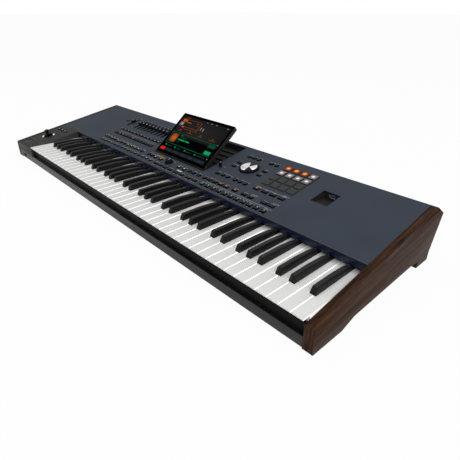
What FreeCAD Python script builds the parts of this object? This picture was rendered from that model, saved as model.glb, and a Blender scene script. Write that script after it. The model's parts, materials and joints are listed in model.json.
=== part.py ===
import FreeCAD, Part
import os
import re
import Sketcher

# Arranger keyboard with 76 keys, a tilting display, pads, faders, a data dial and wooden cheeks.
# Frame: X runs along the keys to the right, Y to the back, Z up, origin on the floor at the middle.
# "Along" is measured up the slope of the top panel from the line of the key fronts.

# Counts of repeated pieces
WHITE_KEYS = 45
FADERS = 9
PAD_ROWS = 4
PAD_COLUMNS = 4
WELL_RIBS = 6
JACKS = 4
MIDI_SOCKETS = 2
CHASSIS_SLOTS = 12
FOOT_ROWS = 2
SCREWS = 6
ASSIGN_BUTTONS = 3

# Sides of the outlines that stand for small round pieces
CAP_SIDES = 10
KNOB_SIDES = 12
DIAL_SIDES = 24
FOOT_SIDES = 12
SHAFT_SIDES = 10
SCREW_SIDES = 6
FULL_TURN = 360

# Driving dimensions in millimetres and degrees
SIZES = {
    "overrun": 2.0,
    "nose_overhang": 30.255,
    "key_top_height": 60.0,
    "foot_lift": 2.0,
    "front_setback": 1.2,
    "left_block_width": 110.7,
    "left_key_gap": 5.0,
    "right_key_gap": 1.0,

    # Sloped top plane
    "panel_drop": 8.3,
    "panel_slope": 9.54,
    "panel_front": 162.0,
    "panel_margin": 6.0,
    "panel_sheet": 2.0,

    # Keys
    "octave_span": 165.0,
    "key_gap": 1.0,
    "tail_gap": 0.6,
    "notch_gap": 0.8,
    "white_depth": 15.0,
    "lip_length": 16.0,
    "lip_depth": 3.0,
    "black_front": 55.0,
    "black_end_gap": 1.5,
    "black_fall_length": 53.0,
    "black_fall_bend": 20.0,
    "black_fall_first": 2.4,
    "black_fall": 7.0,
    "black_height": 12.0,
    "black_base_drop": 0.5,
    "black_width": 12.2,
    "black_top_width": 9.1,
    "black_front_rake": 4.5,
    "black_back_rake": 1.0,
    "pivot_back": 214.0,
    "pivot_drop": 12.0,
    "pivot_radius": 2.5,
    "pivot_clearance": 0.3,
    "key_end": 226.0,

    # Key bed
    "bed_front": 24.0,
    "bed_rail_front": 26.0,
    "bed_rail_back": 46.0,
    "bed_rail_height": 33.0,
    "bed_back": 218.0,
    "bed_sheet": 2.0,
    "bed_end_inset": 2.0,
    "felt_inset": 4.0,
    "felt_thickness": 3.0,
    "rod_seat_gap": 0.1,
    "contact_front": 90.0,
    "contact_back": 140.0,
    "contact_height": 14.0,
    "board_sheet": 1.6,
    "contact_leg": 3.0,

    # Case sheet and front
    "foot_height": 7.0,
    "foot_radius": 12.0,
    "foot_side_inset": 60.0,
    "foot_front": 50.0,
    "chassis_sheet": 1.5,
    "chassis_front_lip": 18.0,
    "chassis_rear_lip": 10.0,
    "chassis_side_lip": 14.0,
    "slot_width": 4.0,
    "slot_length": 40.0,
    "slot_pitch": 12.0,
    "slot_back": 68.0,
    "slot_left": 420.0,
    "screw_radius": 3.5,
    "screw_head": 1.8,
    "screw_side_inset": 12.0,
    "screw_front": 30.0,
    "rail_bottom": 7.0,
    "rail_top": 28.0,
    "rail_depth": 10.0,
    "rail_wall": 2.5,
    "rail_crown": 0.8,
    "slip_sheet": 2.0,
    "slip_top": 45.5,
    "slip_ledge": 1.2,
    "trim_sheet": 2.5,
    "trim_bottom": 64.0,

    # Wooden cheeks
    "cheek_top": 14.5,
    "cheek_wide": 18.3,
    "crease_front_height": 39.0,
    "crease_rear_height": 22.0,
    "nose_height": 94.0,
    "waist_inset": 31.0,
    "waist_height": 22.0,
    "front_foot_end": 78.0,
    "arch_front": 111.0,
    "arch_front_lift": 11.0,
    "arch_rear_reach": 73.0,
    "arch_rear_lift": 17.6,
    "rear_foot_length": 46.0,
    "rear_foot_lift": 14.3,
    "toe_length": 3.0,
    "toe_lift": 3.5,

    # Rear panel and its sockets
    "rear_sheet": 2.5,
    "rear_inset": 4.0,
    "jack_left": 560.0,
    "jack_pitch": 34.0,
    "jack_bore": 3.25,
    "jack_nose": 11.0,
    "jack_proud": 1.2,
    "jack_depth": 18.0,
    "jack_body_width": 16.0,
    "jack_body_height": 13.0,
    "socket_clearance": 0.15,
    "midi_left": 330.0,
    "midi_pitch": 36.0,
    "midi_bore": 7.6,
    "midi_nose": 18.4,
    "midi_bore_depth": 8.0,
    "midi_depth": 14.0,
    "midi_proud": 1.2,
    "midi_body_width": 21.0,
    "midi_body_height": 20.0,
    "inlet_inset": 60.0,
    "inlet_width": 24.5,
    "inlet_height": 16.5,
    "inlet_depth": 15.0,
    "inlet_wall": 2.2,
    "inlet_flange": 5.0,
    "inlet_flange_sheet": 2.0,
    "pin_width": 2.0,
    "pin_height": 4.0,
    "pin_length": 8.0,
    "pin_spacing": 14.0,
    "pin_drop": 3.0,
    "earth_lift": 4.0,
    "switch_inset": 5.0,
    "switch_width": 19.0,
    "switch_height": 13.0,
    "switch_depth": 12.0,
    "switch_tilt": 8.0,
    "switch_axle_drop": 4.0,
    "switch_axle_radius": 1.5,
    "switch_clearance": 0.3,
    "rocker_half_height": 5.3,
    "rocker_crest": 2.2,
    "rocker_dip": 0.6,

    # Left housing
    "housing_wall": 2.5,
    "stick_plate_x": -66.0,
    "stick_plate_along": 80.0,
    "stick_plate_width": 88.0,
    "stick_plate_length": 60.0,
    "stick_plate_sheet": 2.5,
    "stick_plate_sink": 0.4,
    "fit_gap": 0.3,
    "stick_x": -72.0,
    "stick_along": 86.0,
    "stick_opening": 15.0,
    "stick_axis_depth": 18.0,
    "stick_height": 20.0,
    "stick_radius": 6.5,
    "gimbal_size": 26.0,
    "gimbal_opening": 16.0,
    "gimbal_thickness": 8.0,
    "gimbal_pin": 2.0,
    "gimbal_gap": 0.08,
    "lug_gap": 1.0,
    "lug_thickness": 3.0,
    "ribbon_x": -70.0,
    "ribbon_along": 26.0,
    "ribbon_width": 82.0,
    "ribbon_length": 19.0,
    "ribbon_sheet": 1.8,
    "ribbon_sink": 0.8,

    # Headphone socket in the front rail
    "phones_x": -76.0,
    "phones_height": 17.0,

    # Display and its well
    "display_x": 470.5,
    "display_width": 211.0,
    "display_length": 139.0,
    "display_thickness": 12.0,
    "display_tilt": 28.6,
    "display_corner": 4.0,
    "display_back_edge": 3.0,
    "display_heel": 2.0,
    "hinge_along": 227.6,
    "hinge_sink": 3.3,
    "hinge_pin_radius": 2.0,
    "hinge_pin_bite": 2.5,
    "hinge_running_gap": 0.06,
    "glass_sheet": 1.5,
    "glass_rim": 1.2,
    "glass_gap": 0.1,
    "well_side_gap": 1.2,
    "well_wall": 3.0,
    "well_front_gap": 10.0,
    "well_back_gap": 7.4,
    "well_depth": 17.0,
    "well_floor": 2.0,
    "rib_first": 246.0,
    "rib_pitch": 21.0,
    "rib_width": 6.0,
    "rib_height": 4.0,

    # USB recess
    "usb_x": 890.0,
    "usb_front": 263.7,
    "usb_length": 47.0,
    "usb_width": 40.0,
    "usb_depth": 17.0,
    "usb_wall": 2.5,
    "usb_port_width": 14.0,
    "usb_port_height": 7.0,
    "usb_port_depth": 16.0,
    "usb_port_sink": 9.0,
    "usb_port_wall": 0.8,
    "usb_tongue": 2.0,

    # Boards and power supply
    "cap_depth": 7.5,
    "cap_travel": 1.2,
    "cap_clearance": 0.4,
    "cap_height": 2.4,
    "cap_draft": 2.0,
    "board_gap": 0.3,
    "board_post": 5.0,
    "front_board_left": 108.0,
    "front_board_right": 836.0,
    "front_board_front": 168.0,
    "front_board_back": 213.0,
    "board_side_gap": 5.8,
    "left_board_front": 215.0,
    "left_board_back": 274.0,
    "right_board_back": 360.0,
    "main_board_left": 420.0,
    "main_board_width": 300.0,
    "board_front_gap": 22.0,
    "main_board_back_gap": 17.5,
    "main_board_lift": 8.0,
    "supply_inset": 110.0,
    "supply_width": 130.0,
    "supply_back_gap": 27.5,
    "supply_height": 36.0,

    # Dial and knobs
    "dial_x": 666.0,
    "dial_along": 292.3,
    "dial_radius": 25.0,
    "dial_height": 5.0,
    "dial_lift": 0.4,
    "dial_shaft": 3.0,
    "shaft_clearance": 0.3,
    "shaft_depth": 8.0,
    "dial_cap_radius": 20.5,
    "dial_cap_sink": 1.2,
    "dial_cap_crown": 0.6,
    "dial_dimple_radius": 5.0,
    "dial_dimple_reach": 12.5,
    "dial_dimple_depth": 1.0,
    "volume_x": 462.3,
    "volume_along": 199.5,
    "volume_radius": 9.5,
    "volume_height": 8.0,
    "balance_gap": 17.8,
    "balance_along": 260.5,
    "balance_radius": 4.2,
    "balance_height": 11.0,

    # Faders
    "fader_x": 149.0,
    "fader_pitch": 18.75,
    "master_x": 105.0,
    "fader_middle": 313.0,
    "fader_slot_length": 50.0,
    "fader_slot_width": 2.6,
    "fader_stem": 1.6,
    "fader_stem_length": 4.0,
    "fader_cap_width": 9.5,
    "fader_cap_length": 15.0,
    "fader_cap_height": 8.0,
    "fader_cap_lift": 0.6,
    "fader_cap_draft": 8.0,
    "track_width": 8.0,
    "track_length": 62.0,
    "track_depth": 9.0,
    "track_floor": 1.5,

    # Pads
    "pad_x": 748.4,
    "pad_pitch": 23.65,
    "pad_along": 266.6,
    "pad_row_pitch": 24.6,
    "pad_size": 19.6,
    "pad_height": 3.0,

    # Button rows: first centre from the left end of the keys, pitch, place along the slope, size
    "style_x": 137.6, "style_pitch": 19.2, "style_along": 179.4, "style_wide": 9.5, "style_long": 5.5,
    "fill_x": 433.4, "fill_pitch": 21.5, "fill_along": 176.8, "fill_wide": 15.0, "fill_long": 7.5,
    "intro_x": 523.4, "intro_pitch": 23.4, "intro_along": 176.3, "intro_wide": 16.0, "intro_long": 7.5,
    "start_x": 574.6, "start_pitch": 22.7, "start_along": 176.6, "start_wide": 16.0, "start_long": 7.5,
    "sound_x": 626.1, "sound_pitch": 19.3, "sound_along": 176.8, "sound_wide": 13.0, "sound_long": 9.0,
    "rhythm_x": 124.5, "rhythm_pitch": 19.0, "rhythm_along": 199.0, "rhythm_wide": 11.0, "rhythm_long": 6.0,
    "mixer_x": 130.7, "mixer_pitch": 19.4, "mixer_along": 234.0, "mixer_wide": 16.5, "mixer_long": 7.5,
    "mode_x": 120.6, "mode_pitch": 18.7, "mode_along": 261.0, "mode_wide": 12.0, "mode_long": 5.5,
    "player_x": 369.1, "player_pitch": 15.5, "player_along": 199.0, "player_wide": 9.0,
    "lamp_x": 403.1, "lamp_pitch": 23.6, "lamp_along": 198.4, "lamp_wide": 12.0, "lamp_long": 8.0,
    "split_x": 509.0, "split_pitch": 21.6, "split_along": 198.2, "split_wide": 12.0, "split_long": 8.0,
    "seek_x": 550.8, "seek_pitch": 16.3, "seek_along": 199.5, "seek_wide": 9.0,
    "skip_x": 587.6, "skip_pitch": 21.5, "skip_along": 199.3, "skip_wide": 9.0,
    "song_x": 626.3, "song_pitch": 19.1, "song_along": 200.6, "song_wide": 14.5, "song_long": 7.0,
    "mark_x": 711.6, "mark_pitch": 29.2, "mark_along": 201.0, "mark_wide": 14.5, "mark_long": 7.0,
    "page_x": 761.0, "page_along": 200.2, "page_wide": 14.5, "page_long": 7.0,
    "menu_x": 618.4, "menu_along": 234.0, "menu_wide": 13.5, "menu_long": 7.0,
    "tap_x": 636.5, "tap_pitch": 16.7, "tap_along": 234.0, "tap_wide": 9.0,
    "tune_x": 678.2, "tune_pitch": 16.2, "tune_along": 233.9, "tune_wide": 9.0,
    "bank_x": 746.6, "bank_pitch": 23.9, "bank_along": 234.3, "bank_wide": 16.5, "bank_long": 7.5,
    "side_x": 624.1, "side_pitch": 84.1, "side_along": 282.4, "side_row": 19.9,
    "side_wide": 13.0, "side_long": 6.5,
    "view_x": 622.6, "view_pitch": 16.0, "view_along": 339.2, "view_wide": 9.0,
    "exit_x": 695.2, "exit_pitch": 16.7, "exit_along": 339.8, "exit_wide": 9.0,
    "solo_x": 72.0, "solo_along": 311.0, "solo_wide": 9.5, "solo_long": 6.0,
    "assign_x": -93.8, "assign_pitch": 22.9, "assign_along": 135.7, "assign_wide": 11.0, "assign_long": 6.5,
}

# Sizes that follow from the driving dimensions
DERIVED = {
    "well_front": "hinge_along - well_front_gap",
    "well_rear": "hinge_along + display_length + well_back_gap",
    "panel_rear": "well_rear + panel_margin",
    "case_depth": "panel_rear * cos(panel_slope) + nose_overhang",
    "front_y": "-case_depth / 2",
    "rear_y": "case_depth / 2",
    "case_front": "front_y + front_setback",
    "white_pitch": "octave_span / 7",
    "key_span": f"white_pitch * {WHITE_KEYS}",
    "octaves_end": f"octave_span * {WHITE_KEYS // 7}",
    "inlet_left": "octaves_end - inlet_inset",
    "switch_left": "octaves_end - switch_inset",
    "supply_left": "octaves_end - supply_inset",
    "inner_half": "(left_block_width + left_key_gap + key_span + right_key_gap) / 2",
    "keys_left": "-inner_half + left_block_width + left_key_gap",
    "block_right": "-inner_half + left_block_width",
    "top_front": "key_top_height - panel_drop",
    "sheet_drop": "panel_sheet / cos(panel_slope)",
    "panel_front_y": "front_y + panel_front * cos(panel_slope)",
    "black_back": "panel_front * cos(panel_slope) - black_end_gap",
    "panel_rear_y": "front_y + panel_rear * cos(panel_slope)",
    "panel_rear_z": "top_front + panel_rear * sin(panel_slope)",
    "cheek_front_z": "top_front + front_setback * tan(panel_slope)",
    "cheek_rear_z": "top_front + case_depth * tan(panel_slope)",
    "waist_y": "rear_y - waist_inset",
    "pivot_y": "front_y + pivot_back",
    "pivot_z": "key_top_height - pivot_drop",
    "floor_top": "foot_height + chassis_sheet",
    "chassis_front": "case_front + rail_depth",
    "rear_face_y": "rear_y - rear_inset",
    "rear_waist_y": "waist_y - rear_inset",
    "rear_lean": "atan((rear_face_y - rear_waist_y) / (nose_height - waist_height))",
    "rear_middle_y": "(rear_face_y + rear_waist_y) / 2",
    "rear_middle_z": "(nose_height + waist_height) / 2",
    "rear_inside_y": "rear_waist_y - rear_sheet",
    "foot_span": "rear_waist_y - front_y - foot_front * 2",
    "screw_pitch": f"(rear_inside_y - front_y - screw_front * 2) / {SCREWS - 1}",
    "rear_board_y": "front_y + bed_back + board_front_gap",
    "main_board_length": "rear_inside_y - main_board_back_gap - rear_board_y",
    "supply_length": "rear_inside_y - supply_back_gap - rear_board_y",
    "board_level": "cap_depth + cap_travel + board_gap",
    "well_half": "display_width / 2 + well_side_gap + well_wall",
    "well_inner_half": "display_width / 2 + well_side_gap",
    "balance_x": "display_x + well_half + balance_gap",
    "left_board_right": "display_x - well_half - board_side_gap",
    "right_board_left": "display_x + well_half + board_side_gap",
    "notch_reach": "(pivot_radius + pivot_clearance) * sqrt(2)",
}

doc = FreeCAD.newDocument("arranger_keyboard")
sheet = doc.addObject("Spreadsheet::Sheet", "sizes")
for row, (alias, number) in enumerate(SIZES.items(), start=1):
    cell = f"A{row}"
    sheet.set(cell, str(number))
    sheet.setAlias(cell, alias)
doc.recompute()

NODES = []
WORD = re.compile(r"[A-Za-z_][A-Za-z0-9_]*")


def expand(text):
    """Write a size formula as an expression on the sheet's cells."""
    def swap(match):
        word = match.group(0)
        if word in DERIVED:
            return "(" + expand(DERIVED[word]) + ")"
        if word in SIZES:
            return "sizes." + word
        return word
    return WORD.sub(swap, text)


def value(text):
    """The number that a size formula gives now."""
    result = sheet.evalExpression(expand(text))
    return float(getattr(result, "Value", result))


def bind(thing, prop, text):
    thing.setExpression(prop, expand(text))


def node(thing, label):
    """Name a finished sub-part and list it for writing."""
    thing.Label = label
    NODES.append(thing)
    return thing


def place(thing, x="0", y="0", z="0", turn=None):
    """Put a piece at a point, turned about X where a formula for the angle is given."""
    if turn is not None:
        start = FreeCAD.Rotation(FreeCAD.Vector(1, 0, 0), value(turn))
        thing.Placement = FreeCAD.Placement(FreeCAD.Vector(), start)
        bind(thing, "Placement.Rotation.Angle", turn)
    for axis, text in zip("xyz", (x, y, z)):
        bind(thing, "Placement.Base." + axis, text)
    return thing


def on_panel(thing, x="0", along="0", lift="0"):
    """Put a piece on the sloped top plane."""
    y = f"front_y + ({along}) * cos(panel_slope) - ({lift}) * sin(panel_slope)"
    z = f"top_front + ({along}) * sin(panel_slope) + ({lift}) * cos(panel_slope)"
    return place(thing, x, y, z, "panel_slope")


def on_rear(thing, x="0"):
    """Put a piece on the leaning rear face, its own Z pointing out of the case."""
    return place(thing, x, "rear_middle_y", "rear_middle_z", "-(90 deg + rear_lean)")


def top_height(y):
    """Height of the sloped top plane over the floor at a place from front to back."""
    return f"top_front + (({y}) - front_y) * tan(panel_slope)"


def new_body(label):
    body = doc.addObject("PartDesign::Body", label)
    body.Label = label
    return body


def origin_part(body, role):
    return [part for part in body.Origin.OriginFeatures if part.Role == role][0]


def new_sketch(body, plane="XY_Plane", level="0"):
    sketch = body.newObject("Sketcher::SketchObject", body.Name + "_sketch")
    sketch.AttachmentSupport = [(origin_part(body, plane), "")]
    sketch.MapMode = "FlatFace"
    bind(sketch, "AttachmentOffset.Base.z", level)
    return sketch


def hold_point(sketch, line, end, x, y):
    """Bind one point of the sketch to the sheet."""
    for kind, text in (("DistanceX", x), ("DistanceY", y)):
        rule = Sketcher.Constraint(kind, -1, 1, line, end, value(text))
        index = sketch.addConstraint(rule)
        bind(sketch, f"Constraints[{index}]", text)


def polygon(sketch, points):
    """A closed outline of straight lines through points given as formulas."""
    corners = [FreeCAD.Vector(value(x), value(y), 0) for x, y in points]
    first = sketch.GeometryCount
    count = len(corners)
    for index, corner in enumerate(corners):
        sketch.addGeometry(Part.LineSegment(corner, corners[(index + 1) % count]), False)
    for index, (x, y) in enumerate(points):
        following = first + (index + 1) % count
        sketch.addConstraint(Sketcher.Constraint("Coincident", first + index, 2, following, 1))
        hold_point(sketch, first + index, 1, x, y)
    return sketch


def rectangle(sketch, x, y, wide, long):
    """A rectangle about its centre."""
    left, right = f"({x}) - ({wide}) / 2", f"({x}) + ({wide}) / 2"
    front, back = f"({y}) - ({long}) / 2", f"({y}) + ({long}) / 2"
    return polygon(sketch, [(left, front), (right, front), (right, back), (left, back)])


def circle(sketch, x, y, radius):
    centre = FreeCAD.Vector(value(x), value(y), 0)
    line = sketch.addGeometry(Part.Circle(centre, FreeCAD.Vector(0, 0, 1), value(radius)), False)
    hold_point(sketch, line, 3, x, y)
    index = sketch.addConstraint(Sketcher.Constraint("Radius", line, value(radius)))
    bind(sketch, f"Constraints[{index}]", radius)
    return sketch


def many_sided(sketch, x, y, radius, sides):
    """A regular outline with flat sides."""
    points = []
    for index in range(sides):
        turn = f"{FULL_TURN * (index + 0.5) / sides} deg"
        points.append((f"({x}) + ({radius}) * cos({turn})", f"({y}) + ({radius}) * sin({turn})"))
    return polygon(sketch, points)


def pad(body, sketch, length, down=False):
    feature = body.newObject("PartDesign::Pad", body.Name + "_pad")
    feature.Profile = sketch
    bind(feature, "Length", length)
    feature.Reversed = down
    doc.recompute()
    return feature


def pocket(body, sketch, length, up=False, middle=False):
    """Cut a sketch into its body, and stop if it takes nothing away."""
    before = body.Shape.Volume
    feature = body.newObject("PartDesign::Pocket", body.Name + "_pocket")
    feature.Profile = sketch
    bind(feature, "Length", length)
    feature.Reversed = up
    feature.Midplane = middle
    doc.recompute()
    if body.Shape.Volume >= before:
        raise ValueError("a cut in " + body.Label + " takes nothing away")
    return feature


def shaft(sketch, x, y, radius):
    """A pin or shaft that turns in a bearing."""
    return many_sided(sketch, x, y, radius, SHAFT_SIDES)


def bearing(sketch, x, y, radius):
    """The hole for a shaft, its flat sides just clear of the shaft as it turns."""
    return many_sided(sketch, x, y, f"({radius}) / cos({FULL_TURN / 2 / SHAFT_SIDES} deg)", SHAFT_SIDES)


def wedge(body, corner, high, foot, top):
    """A block with flat sloping sides over a corner point. Its foot and its top are each given
    as left, right, front and back."""
    solid = body.newObject("PartDesign::AdditiveWedge", body.Name + "_wedge")
    solid.Placement = FreeCAD.Placement(FreeCAD.Vector(), FreeCAD.Rotation(FreeCAD.Vector(1, 0, 0), 90))
    for axis, text in zip("xyz", corner):
        bind(solid, "Placement.Base." + axis, text)
    limits = {"Ymin": "0", "Ymax": high}
    for mark, (left, right, front, back) in (("", foot), ("2", top)):
        limits.update({f"X{mark}min": left, f"X{mark}max": right, f"Z{mark}min": f"-({back})",
                       f"Z{mark}max": f"-({front})"})
    for prop, text in limits.items():
        bind(solid, prop, text)
    doc.recompute()
    return solid


def tapered_cap(body, corner, wide, long, high, draft):
    """A rectangular cap about a point, its sides leaning in by an angle."""
    lean = f"({high}) * tan({draft})"
    foot = (f"-({wide}) / 2", f"({wide}) / 2", f"-({long}) / 2", f"({long}) / 2")
    top = tuple(f"{edge} {sign} {lean}" for edge, sign in zip(foot, "+-+-"))
    return wedge(body, corner, high, foot, top)


def repeat(body, features, pitch, count, row_pitch=None, rows=1):
    """Repeat features along X, and along Y where a row pitch is given."""
    pattern = body.newObject("PartDesign::LinearPattern", body.Name + "_pattern")
    pattern.Originals = features
    pattern.Direction = (origin_part(body, "X_Axis"), [""])
    bind(pattern, "Length", f"({pitch}) * {max(count - 1, 1)}")
    pattern.Occurrences = count
    if row_pitch is not None:
        pattern.Direction2 = (origin_part(body, "Y_Axis"), [""])
        bind(pattern, "Length2", f"({row_pitch}) * {max(rows - 1, 1)}")
        pattern.Occurrences2 = rows
    body.Tip = pattern
    doc.recompute()
    return pattern


def repeat_all(body, pitch, count, row_pitch=None, rows=1):
    """Repeat a whole body along X, and along Y where a row pitch is given."""
    pattern = repeat(body, [], pitch, count, row_pitch, rows)
    pattern.TransformMode = "Whole shape"
    doc.recompute()
    return pattern


def box(wide, long, high):
    solid = doc.addObject("Part::Box", "box")
    bind(solid, "Length", wide)
    bind(solid, "Width", long)
    bind(solid, "Height", high)
    return solid


def cut(base, tool):
    result = doc.addObject("Part::Cut", "cut")
    result.Base = base
    result.Tool = tool
    return result


def group(parts):
    result = doc.addObject("Part::Compound", "group")
    result.Links = parts
    return result


def upright_edges(feature):
    """Names of the straight edges that run along the body's own Z."""
    names = []
    for index, edge in enumerate(feature.Shape.Edges, start=1):
        ends = [vertex.Point for vertex in edge.Vertexes]
        span = ends[-1] - ends[0]
        if abs(span.z) > abs(span.x) + abs(span.y):
            names.append(f"Edge{index}")
    return names


def level_edges(feature, height):
    """Names of the edges that lie at one height of the body's own Z."""
    names = []
    for index, edge in enumerate(feature.Shape.Edges, start=1):
        if all(abs(vertex.Point.z - height) < Part.Precision.confusion() for vertex in edge.Vertexes):
            names.append(f"Edge{index}")
    return names


def dress(body, kind, feature, edges, prop, size):
    """Round or bevel some edges of a body."""
    result = body.newObject("PartDesign::" + kind, body.Name + "_" + kind.lower())
    result.Base = (feature, edges)
    bind(result, prop, size)
    doc.recompute()
    return result


# White and black keys. In each octave the tails of C to E share three white pitches evenly among
# five keys, and the tails of F to B share four pitches among seven.
LOW_TAIL = "(white_pitch * 3 / 5)"
HIGH_TAIL = "(white_pitch * 4 / 7)"
FIRST_C = 5
WHITE_NAMES = {"c": (0, 0), "d": (1, 2), "e": (2, 4), "f": (3, 0), "g": (4, 2), "a": (5, 4), "b": (6, 6)}
BLACK_NAMES = {"c_sharp": 1, "d_sharp": 3, "f_sharp": 1, "g_sharp": 3, "a_sharp": 5}
LOWEST_OCTAVE = {"e": -1, "f": -1, "f_sharp": -1, "g": -1, "g_sharp": -1, "a": -1, "a_sharp": -1, "b": -1}
HIGHEST_OCTAVE = 5
LOWEST_KEY = "e"
HIGHEST_KEY = "g"
TOP_KEYS = ("c", "c_sharp", "d", "d_sharp", "e", "f", "f_sharp", "g")


def octave_range(name):
    """First octave of a key name and how many keys of that name there are."""
    low = LOWEST_OCTAVE.get(name, 0)
    high = HIGHEST_OCTAVE if name in TOP_KEYS else HIGHEST_OCTAVE - 1
    return low, high - low + 1


def octave_left(low):
    return f"keys_left + white_pitch * {FIRST_C} + octave_span * {low}"


def seat_notch(body):
    """A vee in the key's underside that rides on the pivot rod."""
    sketch = new_sketch(body, "YZ_Plane")
    foot = "key_top_height - white_depth - overrun"
    spread = f"(pivot_z + notch_reach) - ({foot})"
    polygon(sketch, [(f"pivot_y - ({spread})", foot), (f"pivot_y + ({spread})", foot),
                     ("pivot_y", "pivot_z + notch_reach")])
    return pocket(body, sketch, "octave_span * 2", middle=True)


def falling_top(body):
    """The back of a black key's top falls away in two steps, to pass below the navy band."""
    top, back = "key_top_height + black_height", "front_y + black_back"
    start, bend = f"{back} - black_fall_length", f"{back} - black_fall_bend"
    sketch = new_sketch(body, "YZ_Plane")
    polygon(sketch, [(start, top), (bend, f"{top} - black_fall_first"), (back, f"{top} - black_fall"),
                     (back, f"{top} + overrun"), (start, f"{top} + overrun")])
    return pocket(body, sketch, "octave_span * 2", middle=True)


def white_key(label, name, low, count, opens_left, opens_right):
    """Keys of one name, one octave apart, notched on the sides where a black key stands."""
    step, tail_slot = WHITE_NAMES[name]
    in_low = step < 3
    tail = LOW_TAIL if in_low else HIGH_TAIL
    block = "0" if in_low else "white_pitch * 3"
    left, right = f"white_pitch * {step} + key_gap / 2", f"white_pitch * {step + 1} - key_gap / 2"
    tail_left = f"{block} + {tail} * {tail_slot} + tail_gap / 2"
    tail_right = f"{block} + {tail} * {tail_slot + 1} - tail_gap / 2"
    front, back = "front_y", "front_y + key_end"
    neck = "front_y + black_front - notch_gap"
    outline = [(left, front), (right, front)]
    if opens_right:
        outline += [(right, neck), (tail_right, neck), (tail_right, back)]
    else:
        outline += [(right, back)]
    if opens_left:
        outline += [(tail_left, back), (tail_left, neck), (left, neck)]
    else:
        outline += [(left, back)]
    body = new_body(label)
    pad(body, polygon(new_sketch(body, level="key_top_height"), outline), "white_depth", down=True)
    sketch = new_sketch(body, level="key_top_height - lip_depth")
    out_left, out_right = f"({left}) - overrun", f"({right}) + overrun"
    polygon(sketch, [(out_left, "front_y - overrun"), (out_right, "front_y - overrun"),
                     (out_right, "front_y + lip_length"), (out_left, "front_y + lip_length")])
    pocket(body, sketch, "white_depth")
    seat_notch(body)
    if count > 1:
        repeat_all(body, "octave_span", count)
    return place(body, octave_left(low))


def white_keys(name):
    """All white keys of one name. The lowest and the highest key have no notch on their outer side."""
    label = "keys_" + name
    low, count = octave_range(name)
    opens_left, opens_right = name not in ("c", "f"), name not in ("e", "b")
    if name == LOWEST_KEY:
        parts = [white_key("lowest_key", name, low, 1, False, opens_right),
                 white_key("other_keys", name, low + 1, count - 1, opens_left, opens_right)]
        node(group(parts), label)
    elif name == HIGHEST_KEY:
        parts = [white_key("other_keys", name, low, count - 1, opens_left, opens_right),
                 white_key("highest_key", name, low + count - 1, 1, opens_left, False)]
        node(group(parts), label)
    else:
        node(white_key(label, name, low, count, opens_left, opens_right), label)


def black_keys(name):
    low, count = octave_range(name)
    in_low = name in ("c_sharp", "d_sharp")
    tail = LOW_TAIL if in_low else HIGH_TAIL
    block = "0" if in_low else "white_pitch * 3"
    middle = f"{block} + {tail} * ({BLACK_NAMES[name]} + 0.5)"
    body = new_body("keys_" + name)
    stick = new_sketch(body, level="key_top_height - black_base_drop")
    rectangle(stick, middle, "front_y + (black_front + key_end) / 2", "black_width", "key_end - black_front")
    pad(body, stick, "white_depth - black_base_drop", down=True)
    foot = ("-black_width / 2", "black_width / 2", "black_front", "black_back")
    top = ("-black_top_width / 2", "black_top_width / 2", "black_front + black_front_rake",
           "black_back - black_back_rake")
    wedge(body, (middle, "front_y", "key_top_height - black_base_drop"), "black_height + black_base_drop",
          foot, top)
    falling_top(body)
    seat_notch(body)
    repeat_all(body, "octave_span", count)
    node(place(body, octave_left(low)), "keys_" + name)


for key_name in WHITE_NAMES:
    white_keys(key_name)
for key_name in BLACK_NAMES:
    black_keys(key_name)


# Key bed: a bent steel pan, the rod that the keys rock on, the stop felt and the contact board
def key_bed():
    bed = new_body("keybed_frame")
    low, back = "floor_top", "front_y + bed_back"
    rail_in, rail_out = "front_y + bed_rail_front", "front_y + bed_rail_back"
    base = "floor_top + bed_sheet"
    post_front, post_back = "pivot_y - bed_sheet / 2", "pivot_y + bed_sheet / 2"
    post_top = "pivot_z - pivot_radius - rod_seat_gap"
    outline = [("front_y + bed_front", low), (f"{rail_in} + bed_sheet", low),
               (f"{rail_in} + bed_sheet", "bed_rail_height - bed_sheet"),
               (f"{rail_out} - bed_sheet", "bed_rail_height - bed_sheet"), (f"{rail_out} - bed_sheet", low),
               (back, low), (back, base), (post_back, base), (post_back, post_top), (post_front, post_top),
               (post_front, base), (rail_out, base), (rail_out, "bed_rail_height"),
               (rail_in, "bed_rail_height"), (rail_in, base), ("front_y + bed_front", base)]
    length, left = "key_span - bed_end_inset * 2", "keys_left + bed_end_inset"
    pad(bed, polygon(new_sketch(bed, "YZ_Plane"), outline), length)
    node(place(bed, left), "keybed_frame")

    rod = new_body("key_pivot_rod")
    pad(rod, circle(new_sketch(rod, "YZ_Plane"), "pivot_y", "pivot_z", "pivot_radius"), "key_span")
    node(place(rod, "keys_left"), "key_pivot_rod")

    felt = box(length, "bed_rail_back - bed_rail_front - felt_inset * 2", "felt_thickness")
    node(place(felt, left, f"{rail_in} + felt_inset", "bed_rail_height"), "key_stop_felt")

    board = new_body("contact_board")
    near, far = "front_y + contact_front", "front_y + contact_back"
    under, top = f"{base} + contact_height", f"{base} + contact_height + board_sheet"
    outline = [(near, base), (f"{near} + contact_leg", base), (f"{near} + contact_leg", under),
               (f"{far} - contact_leg", under), (f"{far} - contact_leg", base), (far, base),
               (far, top), (near, top)]
    pad(board, polygon(new_sketch(board, "YZ_Plane"), outline), length)
    node(place(board, left), "contact_board")


key_bed()


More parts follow.
